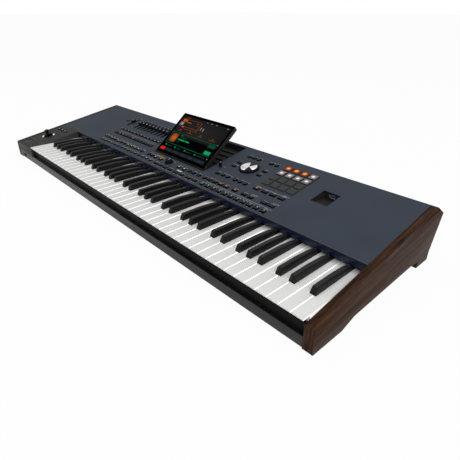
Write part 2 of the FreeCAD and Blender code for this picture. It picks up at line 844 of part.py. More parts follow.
# Wooden cheeks: a twisted outer facet between the top edge and the crease, shaped feet, pointed back
def cheeks():
    body = new_body("right_cheek")
    side = new_sketch(body, "YZ_Plane")
    polygon(side, [("case_front", "foot_lift + toe_lift"), ("case_front + toe_length", "foot_lift"),
                   ("front_y + front_foot_end", "foot_lift"),
                   ("front_y + arch_front", "foot_lift + arch_front_lift"),
                   ("waist_y - arch_rear_reach", "foot_lift + arch_rear_lift"),
                   ("waist_y - rear_foot_length", "foot_lift + rear_foot_lift"),
                   ("waist_y - rear_foot_length", "foot_lift"), ("waist_y", "foot_lift"),
                   ("waist_y", "waist_height"), ("rear_y", "nose_height"), ("panel_rear_y", "panel_rear_z"),
                   ("case_front", "cheek_front_z")])
    pad(body, side, "cheek_wide")
    ends = []
    for level, top, crease in (("case_front", "cheek_front_z", "crease_front_height"),
                               ("rear_y", "cheek_rear_z", "crease_rear_height")):
        end = new_sketch(body, "XZ_Plane", f"-({level})")
        outside, above = "cheek_wide + overrun", f"{top} + overrun"
        ends.append(polygon(end, [("cheek_top", top), ("cheek_wide", crease), (outside, crease),
                                  (outside, above), ("cheek_top", above)]))
    facet = body.newObject("PartDesign::SubtractiveLoft", "cheek_facet")
    facet.Profile = ends[0]
    facet.Sections = ends[1:]
    facet.Ruled = True
    doc.recompute()
    node(place(body, "inner_half"), "right_cheek")
    mirrored = doc.addObject("Part::Mirroring", "left_cheek")
    mirrored.Source = body
    mirrored.Normal = FreeCAD.Vector(1, 0, 0)
    node(mirrored, "left_cheek")


cheeks()


# Bottom chassis: a steel tray with turned-up edges and cooling slots
def chassis():
    body = new_body("bottom_chassis")
    low, top = "foot_height", "floor_top"
    near, far = "chassis_front", "rear_inside_y"
    outline = [(near, low), (far, low), (far, f"{low} + chassis_rear_lip"),
               (f"{far} - chassis_sheet", f"{low} + chassis_rear_lip"), (f"{far} - chassis_sheet", top),
               (f"{near} + chassis_sheet", top), (f"{near} + chassis_sheet", f"{low} + chassis_front_lip"),
               (near, f"{low} + chassis_front_lip")]
    pad(body, polygon(new_sketch(body, "YZ_Plane", "-inner_half"), outline), "inner_half * 2")
    for left in ("-inner_half", "inner_half - chassis_sheet"):
        lip = new_sketch(body, level=top)
        right, fore, aft = f"{left} + chassis_sheet", f"{near} + chassis_sheet", f"{far} - chassis_sheet"
        polygon(lip, [(left, fore), (right, fore), (right, aft), (left, aft)])
        pad(body, lip, "chassis_side_lip")
    gate = new_sketch(body, "XZ_Plane", f"-({near} - overrun)")
    rectangle(gate, "keys_left + phones_x", "phones_height", "jack_body_width + fit_gap * 2",
              "jack_body_height + fit_gap * 2")
    pocket(body, gate, "chassis_sheet + overrun * 2")
    slot = new_sketch(body, level=top)
    rectangle(slot, "keys_left + slot_left", "rear_waist_y - slot_back - slot_length / 2", "slot_width",
              "slot_length")
    slots = pocket(body, slot, "chassis_sheet + overrun")
    repeat(body, [slots], "slot_pitch", CHASSIS_SLOTS)
    node(body, "bottom_chassis")

    feet = new_body("rubber_feet")
    sketch = new_sketch(feet)
    many_sided(sketch, "-inner_half + foot_side_inset", "front_y + foot_front", "foot_radius", FOOT_SIDES)
    foot = pad(feet, sketch, "foot_height")
    repeat(feet, [foot], "(inner_half - foot_side_inset) * 2", FOOT_ROWS, "foot_span", FOOT_ROWS)
    node(feet, "rubber_feet")

    screws = new_body("case_screws")
    head = new_sketch(screws, level="foot_height - screw_head")
    many_sided(head, "-inner_half + screw_side_inset", "front_y + screw_front", "screw_radius", SCREW_SIDES)
    screw = pad(screws, head, "screw_head")
    repeat(screws, [screw], "(inner_half - screw_side_inset) * 2", FOOT_ROWS, "screw_pitch", SCREWS)
    node(screws, "case_screws")


chassis()


# Front of the case: grey rail, the black key slip that covers its top, and the navy band over the keys
def nose_outline(sketch, x, y, rounded, spare):
    """Outline of a jack socket's nose, or of the hole that it stands in."""
    if rounded:
        return many_sided(sketch, x, y, f"jack_nose / 2 + {spare}", DIAL_SIDES)
    return rectangle(sketch, x, y, f"jack_nose + ({spare}) * 2", f"jack_nose + ({spare}) * 2")


def socket_shape(body, level, rounded):
    """A 6.3 mm jack socket: moulded body, nose through the panel and bore, pointing along its own Z."""
    shell = new_sketch(body, level=level)
    rectangle(shell, "0", "0", "jack_body_width", "jack_body_height")
    pad(body, shell, "jack_depth", down=True)
    nose = nose_outline(new_sketch(body, level=level), "0", "0", rounded, "0")
    pad(body, nose, f"jack_proud - ({level})")
    bore = circle(new_sketch(body, level="jack_proud"), "0", "0", "jack_bore")
    return pocket(body, bore, "jack_depth")


def case_front():
    rail = new_body("front_rail")
    near, far = "case_front", "case_front + rail_depth"
    outline = [(f"{near} + rail_crown", "rail_bottom"), (far, "rail_bottom"),
               (far, "rail_bottom + rail_wall"), (f"{near} + rail_wall", "rail_bottom + rail_wall"),
               (f"{near} + rail_wall", "rail_top - rail_wall"), (far, "rail_top - rail_wall"),
               (far, "rail_top"), (near, "rail_top"), (near, "rail_bottom + rail_crown")]
    pad(rail, polygon(new_sketch(rail, "YZ_Plane", "-inner_half"), outline), "inner_half * 2")
    hole = new_sketch(rail, "XZ_Plane", "-(case_front - overrun)")
    nose_outline(hole, "keys_left + phones_x", "phones_height", True, "socket_clearance")
    pocket(rail, hole, "rail_wall + overrun * 2")
    node(rail, "front_rail")

    phones = new_body("headphone_jack")
    socket_shape(phones, "-rail_wall", True)
    node(place(phones, "keys_left + phones_x", "case_front", "phones_height", "90"), "headphone_jack")

    slip = new_body("key_slip")
    outline = [(near, "rail_top"), (far, "rail_top"), (far, "slip_top"), (f"{far} - slip_sheet", "slip_top"),
               (f"{far} - slip_sheet", "rail_top + slip_ledge"), (near, "rail_top + slip_ledge")]
    pad(slip, polygon(new_sketch(slip, "YZ_Plane", "block_right"), outline), "inner_half - block_right")
    node(slip, "key_slip")

    trim = new_body("front_trim")
    near, far = "panel_front_y", "panel_front_y + trim_sheet"
    outline = [(near, "trim_bottom"), (far, "trim_bottom"), (far, f"{top_height(far)} - sheet_drop"),
               (near, f"{top_height(near)} - sheet_drop")]
    pad(trim, polygon(new_sketch(trim, "YZ_Plane", "block_right"), outline), "inner_half - block_right")
    node(trim, "front_trim")


case_front()


# Button rows: name, sub-part, how many along the row, how many rows, round or not
ROWS = [
    ("style", "style_buttons", 15, 1, False),
    ("rhythm", "rhythm_buttons", 12, 1, False),
    ("fill", "transport_buttons", 4, 1, False),
    ("intro", "transport_buttons", 2, 1, False),
    ("start", "transport_buttons", 2, 1, False),
    ("sound", "sound_buttons", 11, 1, False),
    ("mixer", "mixer_buttons", 11, 1, False),
    ("mode", "mixer_buttons", 12, 1, False),
    ("solo", "mixer_buttons", 1, 1, False),
    ("player", "player_buttons", 2, 1, True),
    ("lamp", "player_buttons", 2, 1, False),
    ("split", "player_buttons", 2, 1, False),
    ("seek", "player_buttons", 2, 1, True),
    ("skip", "player_buttons", 2, 1, True),
    ("song", "menu_buttons", 4, 1, False),
    ("mark", "menu_buttons", 2, 1, False),
    ("page", "menu_buttons", 1, 1, False),
    ("menu", "menu_buttons", 1, 1, False),
    ("tap", "menu_buttons", 2, 1, True),
    ("tune", "menu_buttons", 3, 1, True),
    ("bank", "menu_buttons", 4, 1, False),
    ("side", "menu_buttons", 2, 2, False),
    ("view", "menu_buttons", 3, 1, True),
    ("exit", "menu_buttons", 2, 1, True),
    ("assign", "assign_buttons", ASSIGN_BUTTONS, 1, False),
]

# Rows whose caps stand side by side in one long slot
SLOT_ROWS = ("mixer", "mode")


def cap_outline(sketch, row, rounded, spare):
    x, y = f"keys_left + {row}_x", f"{row}_along"
    if rounded:
        return many_sided(sketch, x, y, f"{row}_wide / 2 + {spare}", CAP_SIDES)
    return rectangle(sketch, x, y, f"{row}_wide + ({spare}) * 2", f"{row}_long + ({spare}) * 2")


def spread(body, row, count, rows):
    """Repeat a body with one cap or hole over its row."""
    if rows > 1:
        repeat_all(body, f"{row}_pitch", count, f"{row}_row", rows)
    elif count > 1:
        repeat_all(body, f"{row}_pitch", count)


def button_caps():
    made = {}
    for row, label, count, rows, rounded in ROWS:
        body = new_body(row + "_caps")
        high = "cap_depth + cap_height"
        if rounded:
            pad(body, cap_outline(new_sketch(body, level="-cap_depth"), row, True, "0"), high)
        else:
            corner = (f"keys_left + {row}_x", f"{row}_along", "-cap_depth")
            tapered_cap(body, corner, f"{row}_wide", f"{row}_long", high, "cap_draft")
        spread(body, row, count, rows)
        made.setdefault(label, []).append(body)
    for label, bodies in made.items():
        node(on_panel(group(bodies)), label)


button_caps()


# Square pads in a grid
def pads():
    body = new_body("pads")
    corner = ("keys_left + pad_x", "pad_along", "-cap_depth")
    tapered_cap(body, corner, "pad_size", "pad_size", "cap_depth + pad_height", "cap_draft")
    repeat_all(body, "pad_pitch", PAD_COLUMNS, "pad_row_pitch", PAD_ROWS)
    node(on_panel(body), "pads")


pads()


# Sloped top panel with a hole for every control, the display well and the USB recess
def top_panel():
    slab = new_body("panel_slab")
    sketch = new_sketch(slab)
    rectangle(sketch, "0", "(panel_front + panel_rear) / 2", "inner_half * 2", "panel_rear - panel_front")
    pad(slab, sketch, "panel_sheet", down=True)
    level, deep = "overrun", "panel_sheet + overrun * 2"

    large = new_body("panel_large_openings")
    sketch = new_sketch(large, level=level)
    rectangle(sketch, "keys_left + display_x", "(well_front + well_rear) / 2", "well_half * 2",
              "well_rear - well_front")
    rectangle(sketch, "keys_left + usb_x", "usb_front + usb_length / 2", "usb_width", "usb_length")
    rectangle(sketch, "keys_left + master_x", "fader_middle", "fader_slot_width", "fader_slot_length")
    for name in ("dial", "volume", "balance"):
        bearing(sketch, f"keys_left + {name}_x", f"{name}_along", "dial_shaft + shaft_clearance")
    pad(large, sketch, deep, down=True)
    tools = [large]

    for row, label, count, rows, rounded in ROWS:
        if label != "assign_buttons":
            holes = new_body(row + "_holes")
            sketch = new_sketch(holes, level=level)
            if row in SLOT_ROWS:
                span = f"{row}_pitch * {count - 1}"
                rectangle(sketch, f"keys_left + {row}_x + ({span}) / 2", f"{row}_along",
                          f"{span} + {row}_wide + cap_clearance * 2", f"{row}_long + cap_clearance * 2")
                pad(holes, sketch, deep, down=True)
            else:
                pad(holes, cap_outline(sketch, row, rounded, "cap_clearance"), deep, down=True)
                spread(holes, row, count, rows)
            tools.append(holes)
    grid = new_body("pad_holes")
    side = "pad_size + cap_clearance * 2"
    sketch = rectangle(new_sketch(grid, level=level), "keys_left + pad_x", "pad_along", side, side)
    repeat(grid, [pad(grid, sketch, deep, down=True)], "pad_pitch", PAD_COLUMNS, "pad_row_pitch", PAD_ROWS)
    tools.append(grid)
    slots = new_body("fader_slots")
    sketch = new_sketch(slots, level=level)
    rectangle(sketch, "keys_left + fader_x", "fader_middle", "fader_slot_width", "fader_slot_length")
    repeat(slots, [pad(slots, sketch, deep, down=True)], "fader_pitch", FADERS)
    tools.append(slots)
    node(on_panel(cut(slab, group(tools))), "top_panel")


top_panel()


# Left control housing, hollow from below, with the joystick plate, the ribbon and their openings
def left_housing():
    body = new_body("housing_shell")
    near, far = "case_front", "panel_front_y"
    outline = [(near, "rail_top"), (far, "rail_top"), (far, top_height(far)), (near, top_height(near))]
    pad(body, polygon(new_sketch(body, "YZ_Plane", "-inner_half"), outline), "left_block_width")
    near, far = "case_front + housing_wall", "panel_front_y - housing_wall"
    hollow = [(near, "rail_top - overrun"), (far, "rail_top - overrun"),
              (far, f"{top_height(far)} - housing_wall"), (near, f"{top_height(near)} - housing_wall")]
    sketch = polygon(new_sketch(body, "YZ_Plane", "-inner_half + housing_wall"), hollow)
    pocket(body, sketch, "left_block_width - housing_wall * 2", up=True)
    openings = new_body("housing_openings")
    start = "overrun"
    sketch = new_sketch(openings, level=start)
    rectangle(sketch, "keys_left + stick_plate_x", "stick_plate_along", "stick_plate_width + fit_gap * 2",
              "stick_plate_length + fit_gap * 2")
    rectangle(sketch, "keys_left + ribbon_x", "ribbon_along", "ribbon_width + fit_gap * 2",
              "ribbon_length + fit_gap * 2")
    deep = "housing_wall * 2 + overrun"
    pad(openings, sketch, deep, down=True)
    sketch = cap_outline(new_sketch(openings, level=start), "assign", False, "cap_clearance")
    hole = pad(openings, sketch, deep, down=True)
    repeat(openings, [hole], "assign_pitch", ASSIGN_BUTTONS)
    node(cut(body, on_panel(openings)), "left_control_housing")

    ribbon = box("ribbon_width", "ribbon_length", "ribbon_sheet")
    on_panel(ribbon, "keys_left + ribbon_x - ribbon_width / 2", "ribbon_along - ribbon_length / 2",
             "-(ribbon_sink + ribbon_sheet)")
    node(ribbon, "ribbon_strip")


left_housing()


# Joystick: a lever on a cross pin in a gimbal frame, which turns in lugs under its plate
# The lever from its foot to its top: half width as a share of its radius, height as a share of its height
LEVER = [(0.55, "-stick_axis_depth * 1.3"), (0.55, "-stick_axis_depth * 0.6"),
         (0.42, "stick_height * 0.2"), (0.85, "stick_height * 0.8"), (0.70, "stick_height")]


def square(half):
    return f"-({half})", half, f"-({half})", half


def joystick():
    plate = new_body("joystick_plate")
    sketch = new_sketch(plate, level="-stick_plate_sink")
    rectangle(sketch, "stick_plate_x - stick_x", "stick_plate_along - stick_along", "stick_plate_width",
              "stick_plate_length")
    pad(plate, sketch, "stick_plate_sheet", down=True)
    opening = many_sided(new_sketch(plate), "0", "0", "stick_opening", DIAL_SIDES)
    pocket(plate, opening, "stick_plate_sheet * 2")
    lug_top = "-(stick_plate_sink + stick_plate_sheet)"
    reach = "gimbal_size / 2 + lug_gap"
    for side in ("", "-"):
        lug = new_sketch(plate, level=lug_top)
        rectangle(lug, "0", f"{side}({reach} + lug_thickness / 2)", "gimbal_size / 2", "lug_thickness")
        pad(plate, lug, f"stick_axis_depth + gimbal_pin * 2 + ({lug_top})", down=True)
    hole = bearing(new_sketch(plate, "XZ_Plane"), "0", "-stick_axis_depth", "gimbal_pin + gimbal_gap")
    pocket(plate, hole, "gimbal_size * 2", middle=True)
    node(on_panel(plate, "keys_left + stick_x", "stick_along"), "joystick_plate")

    gimbal = new_body("joystick_gimbal")
    level = "gimbal_thickness / 2 - stick_axis_depth"
    frame = rectangle(new_sketch(gimbal, level=level), "0", "0", "gimbal_size", "gimbal_size")
    pad(gimbal, frame, "gimbal_thickness", down=True)
    pin = shaft(new_sketch(gimbal, "XZ_Plane"), "0", "-stick_axis_depth", "gimbal_pin")
    pins = pad(gimbal, pin, f"({reach} + lug_thickness) * 2")
    pins.Midplane = True
    hole = rectangle(new_sketch(gimbal, level=level), "0", "0", "gimbal_opening", "gimbal_opening")
    pocket(gimbal, hole, "gimbal_thickness")
    axle = bearing(new_sketch(gimbal, "YZ_Plane"), "0", "-stick_axis_depth", "gimbal_pin + gimbal_gap")
    pocket(gimbal, axle, "gimbal_size * 2", middle=True)
    node(on_panel(gimbal, "keys_left + stick_x", "stick_along"), "joystick_gimbal")

    lever = new_body("joystick_lever")
    for (foot, low), (top, high) in zip(LEVER, LEVER[1:]):
        wedge(lever, ("0", "0", low), f"({high}) - ({low})",
              square(f"stick_radius * {foot}"), square(f"stick_radius * {top}"))
    cross = shaft(new_sketch(lever, "YZ_Plane"), "0", "-stick_axis_depth", "gimbal_pin")
    pins = pad(lever, cross, "gimbal_size - gimbal_gap")
    pins.Midplane = True
    node(on_panel(lever, "keys_left + stick_x", "stick_along"), "joystick_lever")


joystick()


# Rear panel: bent sheet with a leaning face for the sockets
def rear():
    sheet_body = new_body("rear_sheet_metal")
    low = "foot_height"
    top = f"{top_height('panel_rear_y')} - sheet_drop"
    top_in = f"{top_height('panel_rear_y - rear_sheet')} - sheet_drop"
    outline = [("panel_rear_y", top), ("panel_rear_y - rear_sheet", top_in),
               ("rear_face_y - rear_sheet", "nose_height"), ("rear_waist_y - rear_sheet", "waist_height"),
               ("rear_waist_y - rear_sheet", low), ("rear_waist_y", low), ("rear_waist_y", "waist_height"),
               ("rear_face_y", "nose_height")]
    pad(sheet_body, polygon(new_sketch(sheet_body, "YZ_Plane", "-inner_half"), outline), "inner_half * 2")

    holes = new_body("rear_holes")
    deep = "rear_sheet * 2"
    sketch = new_sketch(holes, level=deep)
    nose_outline(sketch, "keys_left + jack_left", "0", False, "socket_clearance")
    repeat(holes, [pad(holes, sketch, f"{deep} * 2", down=True)], "jack_pitch", JACKS)
    sketch = new_sketch(holes, level=deep)
    side = "midi_nose + socket_clearance * 2"
    rectangle(sketch, "keys_left + midi_left", "0", side, side)
    repeat(holes, [pad(holes, sketch, f"{deep} * 2", down=True)], "midi_pitch", MIDI_SOCKETS)
    sketch = new_sketch(holes, level=deep)
    rectangle(sketch, "keys_left + inlet_left", "0", "inlet_width + inlet_wall * 2",
              "inlet_height + inlet_wall * 2")
    rectangle(sketch, "keys_left + switch_left", "0", "switch_width + inlet_wall * 2",
              "switch_height + inlet_wall * 2")
    pad(holes, sketch, f"{deep} * 2", down=True)
    node(cut(sheet_body, on_rear(holes)), "rear_panel")

    jacks = new_body("jack_sockets")
    socket_shape(jacks, "-rear_sheet", False)
    repeat_all(jacks, "jack_pitch", JACKS)
    place(jacks, "keys_left + jack_left")
    midi = new_body("midi_sockets")
    level = "-rear_sheet"
    shell = rectangle(new_sketch(midi, level=level), "0", "0", "midi_body_width", "midi_body_height")
    pad(midi, shell, "midi_depth", down=True)
    nose = rectangle(new_sketch(midi, level=level), "0", "0", "midi_nose", "midi_nose")
    pad(midi, nose, "rear_sheet + midi_proud")
    pocket(midi, circle(new_sketch(midi, level="midi_proud"), "0", "0", "midi_bore"), "midi_bore_depth")
    repeat_all(midi, "midi_pitch", MIDI_SOCKETS)
    place(midi, "keys_left + midi_left")
    doc.recompute()
    node(on_rear(group([jacks, midi])), "rear_sockets")


rear()


# Power inlet with its pins, and the frame and rocker of the power switch beside it
def power_entry():
    inlet = new_body("inlet_shell")
    flange = new_sketch(inlet, level="inlet_flange_sheet")
    rectangle(flange, "0", "0", "inlet_width + (inlet_wall + inlet_flange) * 2",
              "inlet_height + (inlet_wall + inlet_flange) * 2")
    pad(inlet, flange, "inlet_flange_sheet", down=True)
    shell = rectangle(new_sketch(inlet), "0", "0", "inlet_width + inlet_wall * 2",
                      "inlet_height + inlet_wall * 2")
    pad(inlet, shell, "inlet_depth", down=True)
    hollow = new_sketch(inlet, level="inlet_flange_sheet")
    rectangle(hollow, "0", "0", "inlet_width", "inlet_height")
    pocket(inlet, hollow, "inlet_depth + inlet_flange_sheet - inlet_wall")
    floor = "inlet_wall - inlet_depth"
    sides = new_sketch(inlet, level=floor)
    rectangle(sides, "-pin_spacing / 2", "pin_drop", "pin_width", "pin_height")
    rectangle(sides, "pin_spacing / 2", "pin_drop", "pin_width", "pin_height")
    rectangle(sides, "0", "pin_drop - earth_lift - pin_height / 2", "pin_width", "pin_height")
    pad(inlet, sides, "pin_length")
    place(inlet, "keys_left + inlet_left")

    frame = new_body("switch_frame")
    flange = new_sketch(frame, level="inlet_flange_sheet")
    rectangle(flange, "0", "0", "switch_width + (inlet_wall + inlet_flange) * 2",
              "switch_height + (inlet_wall + inlet_flange) * 2")
    pad(frame, flange, "inlet_flange_sheet", down=True)
    shell = rectangle(new_sketch(frame), "0", "0", "switch_width + inlet_wall * 2",
                      "switch_height + inlet_wall * 2")
    pad(frame, shell, "switch_depth", down=True)
    hollow = new_sketch(frame, level="inlet_flange_sheet")
    rectangle(hollow, "0", "0", "switch_width", "switch_height")
    pocket(frame, hollow, "switch_depth + inlet_flange_sheet - inlet_wall")
    hole = new_sketch(frame, "YZ_Plane")
    bearing(hole, "0", "-switch_axle_drop", "switch_axle_radius + gimbal_gap")
    pocket(frame, hole, "(switch_width + inlet_wall) * 2", middle=True)
    place(frame, "keys_left + switch_left")
    doc.recompute()
    node(on_rear(group([inlet, frame])), "power_inlet")

    rocker = new_body("rocker_shape")
    profile = new_sketch(rocker, "YZ_Plane")
    crest = "switch_axle_drop + inlet_flange_sheet + rocker_crest"
    dip = "switch_axle_drop + inlet_flange_sheet + rocker_dip"
    polygon(profile, [("-rocker_half_height", "0"), ("0", "-switch_axle_drop"), ("rocker_half_height", "0"),
                      ("rocker_half_height", crest), ("0", dip), ("-rocker_half_height", crest)])
    main = pad(rocker, profile, "switch_width - switch_clearance * 2")
    main.Midplane = True
    axle = pad(rocker, shaft(new_sketch(rocker, "YZ_Plane"), "0", "0", "switch_axle_radius"),
               "switch_width + inlet_wall * 2")
    axle.Midplane = True
    place(rocker, "0", "0", "-switch_axle_drop", "switch_tilt")
    doc.recompute()
    node(on_rear(group([rocker]), "keys_left + switch_left"), "power_switch")


power_entry()


# Display: shell with a recessed front glass, on two hinge pins in the walls of its ribbed well
def display():
    tilt = "panel_slope + display_tilt"
    y = "front_y + hinge_along * cos(panel_slope) + hinge_sink * sin(panel_slope)"
    z = "top_front + hinge_along * sin(panel_slope) - hinge_sink * cos(panel_slope)"
    x = "keys_left + display_x"
    middle = "display_length / 2 - display_heel"
    face = "display_thickness / 2"

    shell = new_body("display_shell")
    sketch = rectangle(new_sketch(shell, level=f"-{face}"), "0", middle, "display_width", "display_length")
    slab = pad(shell, sketch, "display_thickness")
    slab = dress(shell, "Fillet", slab, upright_edges(slab), "Radius", "display_corner")
    back = level_edges(slab, -value(face))
    dress(shell, "Chamfer", slab, back, "Size", "display_back_edge")
    inset = rectangle(new_sketch(shell, level=face), "0", middle, "display_width - glass_rim * 2",
                      "display_length - glass_rim * 2")
    pocket(shell, inset, "glass_sheet")
    node(place(shell, x, y, z, tilt), "display_shell")

    glass = new_body("display_glass")
    rim = "(glass_rim + glass_gap) * 2"
    sketch = new_sketch(glass, level=f"{face} - glass_sheet")
    rectangle(sketch, "0", middle, f"display_width - {rim}", f"display_length - {rim}")
    pad(glass, sketch, "glass_sheet")
    node(place(glass, x, y, z, tilt), "display_glass")

    pins = new_body("display_hinge_pins")
    length = "well_side_gap + hinge_pin_bite"
    for level, down in (("display_width / 2", False), ("-display_width / 2", True)):
        pin = shaft(new_sketch(pins, "YZ_Plane", level), "0", "0", "hinge_pin_radius")
        pad(pins, pin, length, down=down)
    node(place(pins, x, y, z, tilt), "display_hinge_pins")

    well = new_body("display_well")
    middle = "(well_front + well_rear) / 2"
    sketch = rectangle(new_sketch(well), "0", middle, "well_half * 2", "well_rear - well_front")
    pad(well, sketch, "well_depth + well_floor", down=True)
    inner = rectangle(new_sketch(well), "0", middle, "well_inner_half * 2",
                      "well_rear - well_front - well_wall * 2")
    pocket(well, inner, "well_depth")
    rib = new_sketch(well, level="-well_depth")
    rectangle(rib, "0", "rib_first", "well_inner_half * 2", "rib_width")
    bars = pad(well, rib, "rib_height")
    pattern = well.newObject("PartDesign::LinearPattern", "rib_pattern")
    pattern.Originals = [bars]
    pattern.Direction = (origin_part(well, "Y_Axis"), [""])
    bind(pattern, "Length", f"rib_pitch * {WELL_RIBS - 1}")
    pattern.Occurrences = WELL_RIBS
    well.Tip = pattern
    doc.recompute()
    seats = new_sketch(well, "YZ_Plane")
    bearing(seats, "hinge_along", "-hinge_sink", "hinge_pin_radius + hinge_running_gap")
    pocket(well, seats, "(well_half + overrun) * 2", middle=True)
    node(on_panel(well, x), "display_well")


display()


# USB recess: a wedge-shaped cup, deepest at the back where the port sits
def usb():
    x, back = "keys_left + usb_x", "usb_front + usb_length"
    cup = new_body("usb_recess")
    sketch = rectangle(new_sketch(cup, level="-panel_sheet"), "0", "usb_front + usb_length / 2",
                       "usb_width + usb_wall * 2", "usb_length + usb_wall * 2")
    pad(cup, sketch, "usb_depth + usb_wall", down=True)
    wedge = new_sketch(cup, "YZ_Plane", "-usb_width / 2")
    polygon(wedge, [("usb_front", "overrun"), ("usb_front", "-(panel_sheet * 2)"),
                    (back, "-(panel_sheet + usb_depth)"), (back, "overrun")])
    pocket(cup, wedge, "usb_width", up=True)
    gate = new_sketch(cup, "XZ_Plane", f"-({back} - overrun)")
    rectangle(gate, "0", "-usb_port_sink", "usb_port_width", "usb_port_height")
    pocket(cup, gate, "usb_wall + overrun * 2")
    node(on_panel(cup, x), "usb_recess")

    port = new_body("usb_port")
    shell = rectangle(new_sketch(port, "XZ_Plane", f"-({back})"), "0", "-usb_port_sink", "usb_port_width",
                      "usb_port_height")
    pad(port, shell, "usb_port_depth", down=True)
    mouth = new_sketch(port, "XZ_Plane", f"-({back})")
    rectangle(mouth, "0", "-usb_port_sink", "usb_port_width - usb_port_wall * 2",
              "usb_port_height - usb_port_wall * 2")
    pocket(port, mouth, "usb_port_depth - usb_port_wall")
    tongue = new_sketch(port, "XZ_Plane", f"-({back} + usb_port_wall)")
    rectangle(tongue, "0", "-usb_port_sink + usb_tongue / 2", "usb_port_width - usb_port_wall * 4",
              "usb_tongue")
    pad(port, tongue, "usb_port_depth - usb_port_wall", down=True)
    node(on_panel(port, x), "usb_port")


usb()


# Data dial with a bright dished cap, and two knobs, each on a shaft through the panel
def dial_and_knobs():
    dial = new_body("data_dial")
    base = many_sided(new_sketch(dial, level="dial_lift"), "0", "0", "dial_radius", DIAL_SIDES)
    pad(dial, base, "dial_height")
    stem = shaft(new_sketch(dial, level="dial_lift"), "0", "0", "dial_shaft")
    pad(dial, stem, "shaft_depth + dial_lift", down=True)
    seat = new_sketch(dial, level="dial_lift + dial_height")
    many_sided(seat, "0", "0", "dial_cap_radius", DIAL_SIDES)
    pocket(dial, seat, "dial_cap_sink")
    node(on_panel(dial, "keys_left + dial_x", "dial_along"), "data_dial")

    cap = new_body("dial_cap")
    level = "dial_lift + dial_height - dial_cap_sink"
    disc = many_sided(new_sketch(cap, level=level), "0", "0", "dial_cap_radius - glass_gap", DIAL_SIDES)
    pad(cap, disc, "dial_cap_sink + dial_cap_crown")
    dimple = new_sketch(cap, level=f"{level} + dial_cap_sink + dial_cap_crown")
    many_sided(dimple, "0", "dial_dimple_reach", "dial_dimple_radius", KNOB_SIDES)
    pocket(cap, dimple, "dial_dimple_depth")
    node(on_panel(cap, "keys_left + dial_x", "dial_along"), "dial_cap")

    for name in ("volume", "balance"):
        knob = new_body(name + "_knob")
        skirt = many_sided(new_sketch(knob, level="dial_lift"), "0", "0", f"{name}_radius", KNOB_SIDES)
        pad(knob, skirt, f"{name}_height")
        stem = shaft(new_sketch(knob, level="dial_lift"), "0", "0", "dial_shaft")
        pad(knob, stem, "shaft_depth + dial_lift", down=True)
        node(on_panel(knob, f"keys_left + {name}_x", f"{name}_along"), name + "_knob")


dial_and_knobs()


# Faders: tracks under the panel, and caps whose stems run in the slots
def fader_cap(label, x, count):
    body = new_body(label)
    stem = new_sketch(body, level="fader_cap_lift")
    rectangle(stem, x, "fader_middle", "fader_stem", "fader_stem_length")
    pad(body, stem, "fader_cap_lift + panel_sheet + track_depth - track_floor - fit_gap", down=True)
    tapered_cap(body, (x, "fader_middle", "fader_cap_lift"), "fader_cap_width", "fader_cap_length",
                "fader_cap_height", "fader_cap_draft")
    if count > 1:
        repeat_all(body, "fader_pitch", count)
    node(on_panel(body), label)


def fader_track(label, x, count):
    body = new_body(label)
    shell = new_sketch(body, level="-panel_sheet")
    rectangle(shell, x, "fader_middle", "track_width", "track_length")
    pad(body, shell, "track_depth", down=True)
    slot = new_sketch(body, level="-panel_sheet")
    rectangle(slot, x, "fader_middle", "fader_slot_width", "fader_slot_length")
    pocket(body, slot, "track_depth - track_floor")
    if count > 1:
        repeat_all(body, "fader_pitch", count)
    return body


fader_cap("fader_caps", "keys_left + fader_x", FADERS)
fader_cap("master_fader_cap", "keys_left + master_x", 1)
tracks = [fader_track("track_row", "keys_left + fader_x", FADERS),
          fader_track("master_track", "keys_left + master_x", 1)]
node(on_panel(group(tracks)), "fader_tracks")


# Circuit boards on posts and the power supply
def panel_board(left, right, near, far):
    """A board under the top panel, held by a post at each corner."""
    body = new_body("panel_board_part")
    sketch = new_sketch(body, level="-board_level")
    polygon(sketch, [(left, near), (right, near), (right, far), (left, far)])
    pad(body, sketch, "board_sheet", down=True)
    posts = new_sketch(body, level="-board_level")
    for x in (f"({left}) + board_post / 2", f"({right}) - board_post / 2"):
        for y in (f"({near}) + board_post / 2", f"({far}) - board_post / 2"):
            rectangle(posts, x, y, "board_post", "board_post")
    pad(body, posts, "board_level - panel_sheet")
    return body


def boards():
    left, right = "keys_left + front_board_left", "keys_left + front_board_right"
    parts = [panel_board(left, right, "front_board_front", "front_board_back"),
             panel_board(left, "keys_left + left_board_right", "left_board_front", "left_board_back"),
             panel_board("keys_left + right_board_left", right, "left_board_front", "right_board_back")]
    node(on_panel(group(parts)), "panel_board")

    main = new_body("main_board")
    x, y = "keys_left + main_board_left + main_board_width / 2", "rear_board_y + main_board_length / 2"
    top = "floor_top + main_board_lift"
    sketch = rectangle(new_sketch(main, level=top), x, y, "main_board_width", "main_board_length")
    pad(main, sketch, "board_sheet")
    posts = new_sketch(main, level=top)
    for side in ("-", "+"):
        for end in ("-", "+"):
            rectangle(posts, f"{x} {side} (main_board_width - board_post) / 2",
                      f"{y} {end} (main_board_length - board_post) / 2", "board_post", "board_post")
    pad(main, posts, "main_board_lift", down=True)
    node(main, "main_board")

    supply = box("supply_width", "supply_length", "supply_height")
    place(supply, "keys_left + supply_left", "rear_board_y", "floor_top")
    node(supply, "power_supply")


boards()

# Check every object, then write one file for each sub-part
doc.recompute()
for thing in doc.Objects:
    if "Invalid" in thing.State or "Error" in thing.State:
        raise ValueError("failed: " + thing.Label + " " + thing.getStatusString())
for thing in NODES:
    if thing.Shape.isNull() or not thing.Shape.isValid():
        raise ValueError("bad shape: " + thing.Label)

os.makedirs("parts", exist_ok=True)
for thing in NODES:
    thing.Shape.exportStep(os.path.join("parts", thing.Label + ".step"))
print(len(NODES), "sub-parts,", sum(len(thing.Shape.Solids) for thing in NODES), "solids")
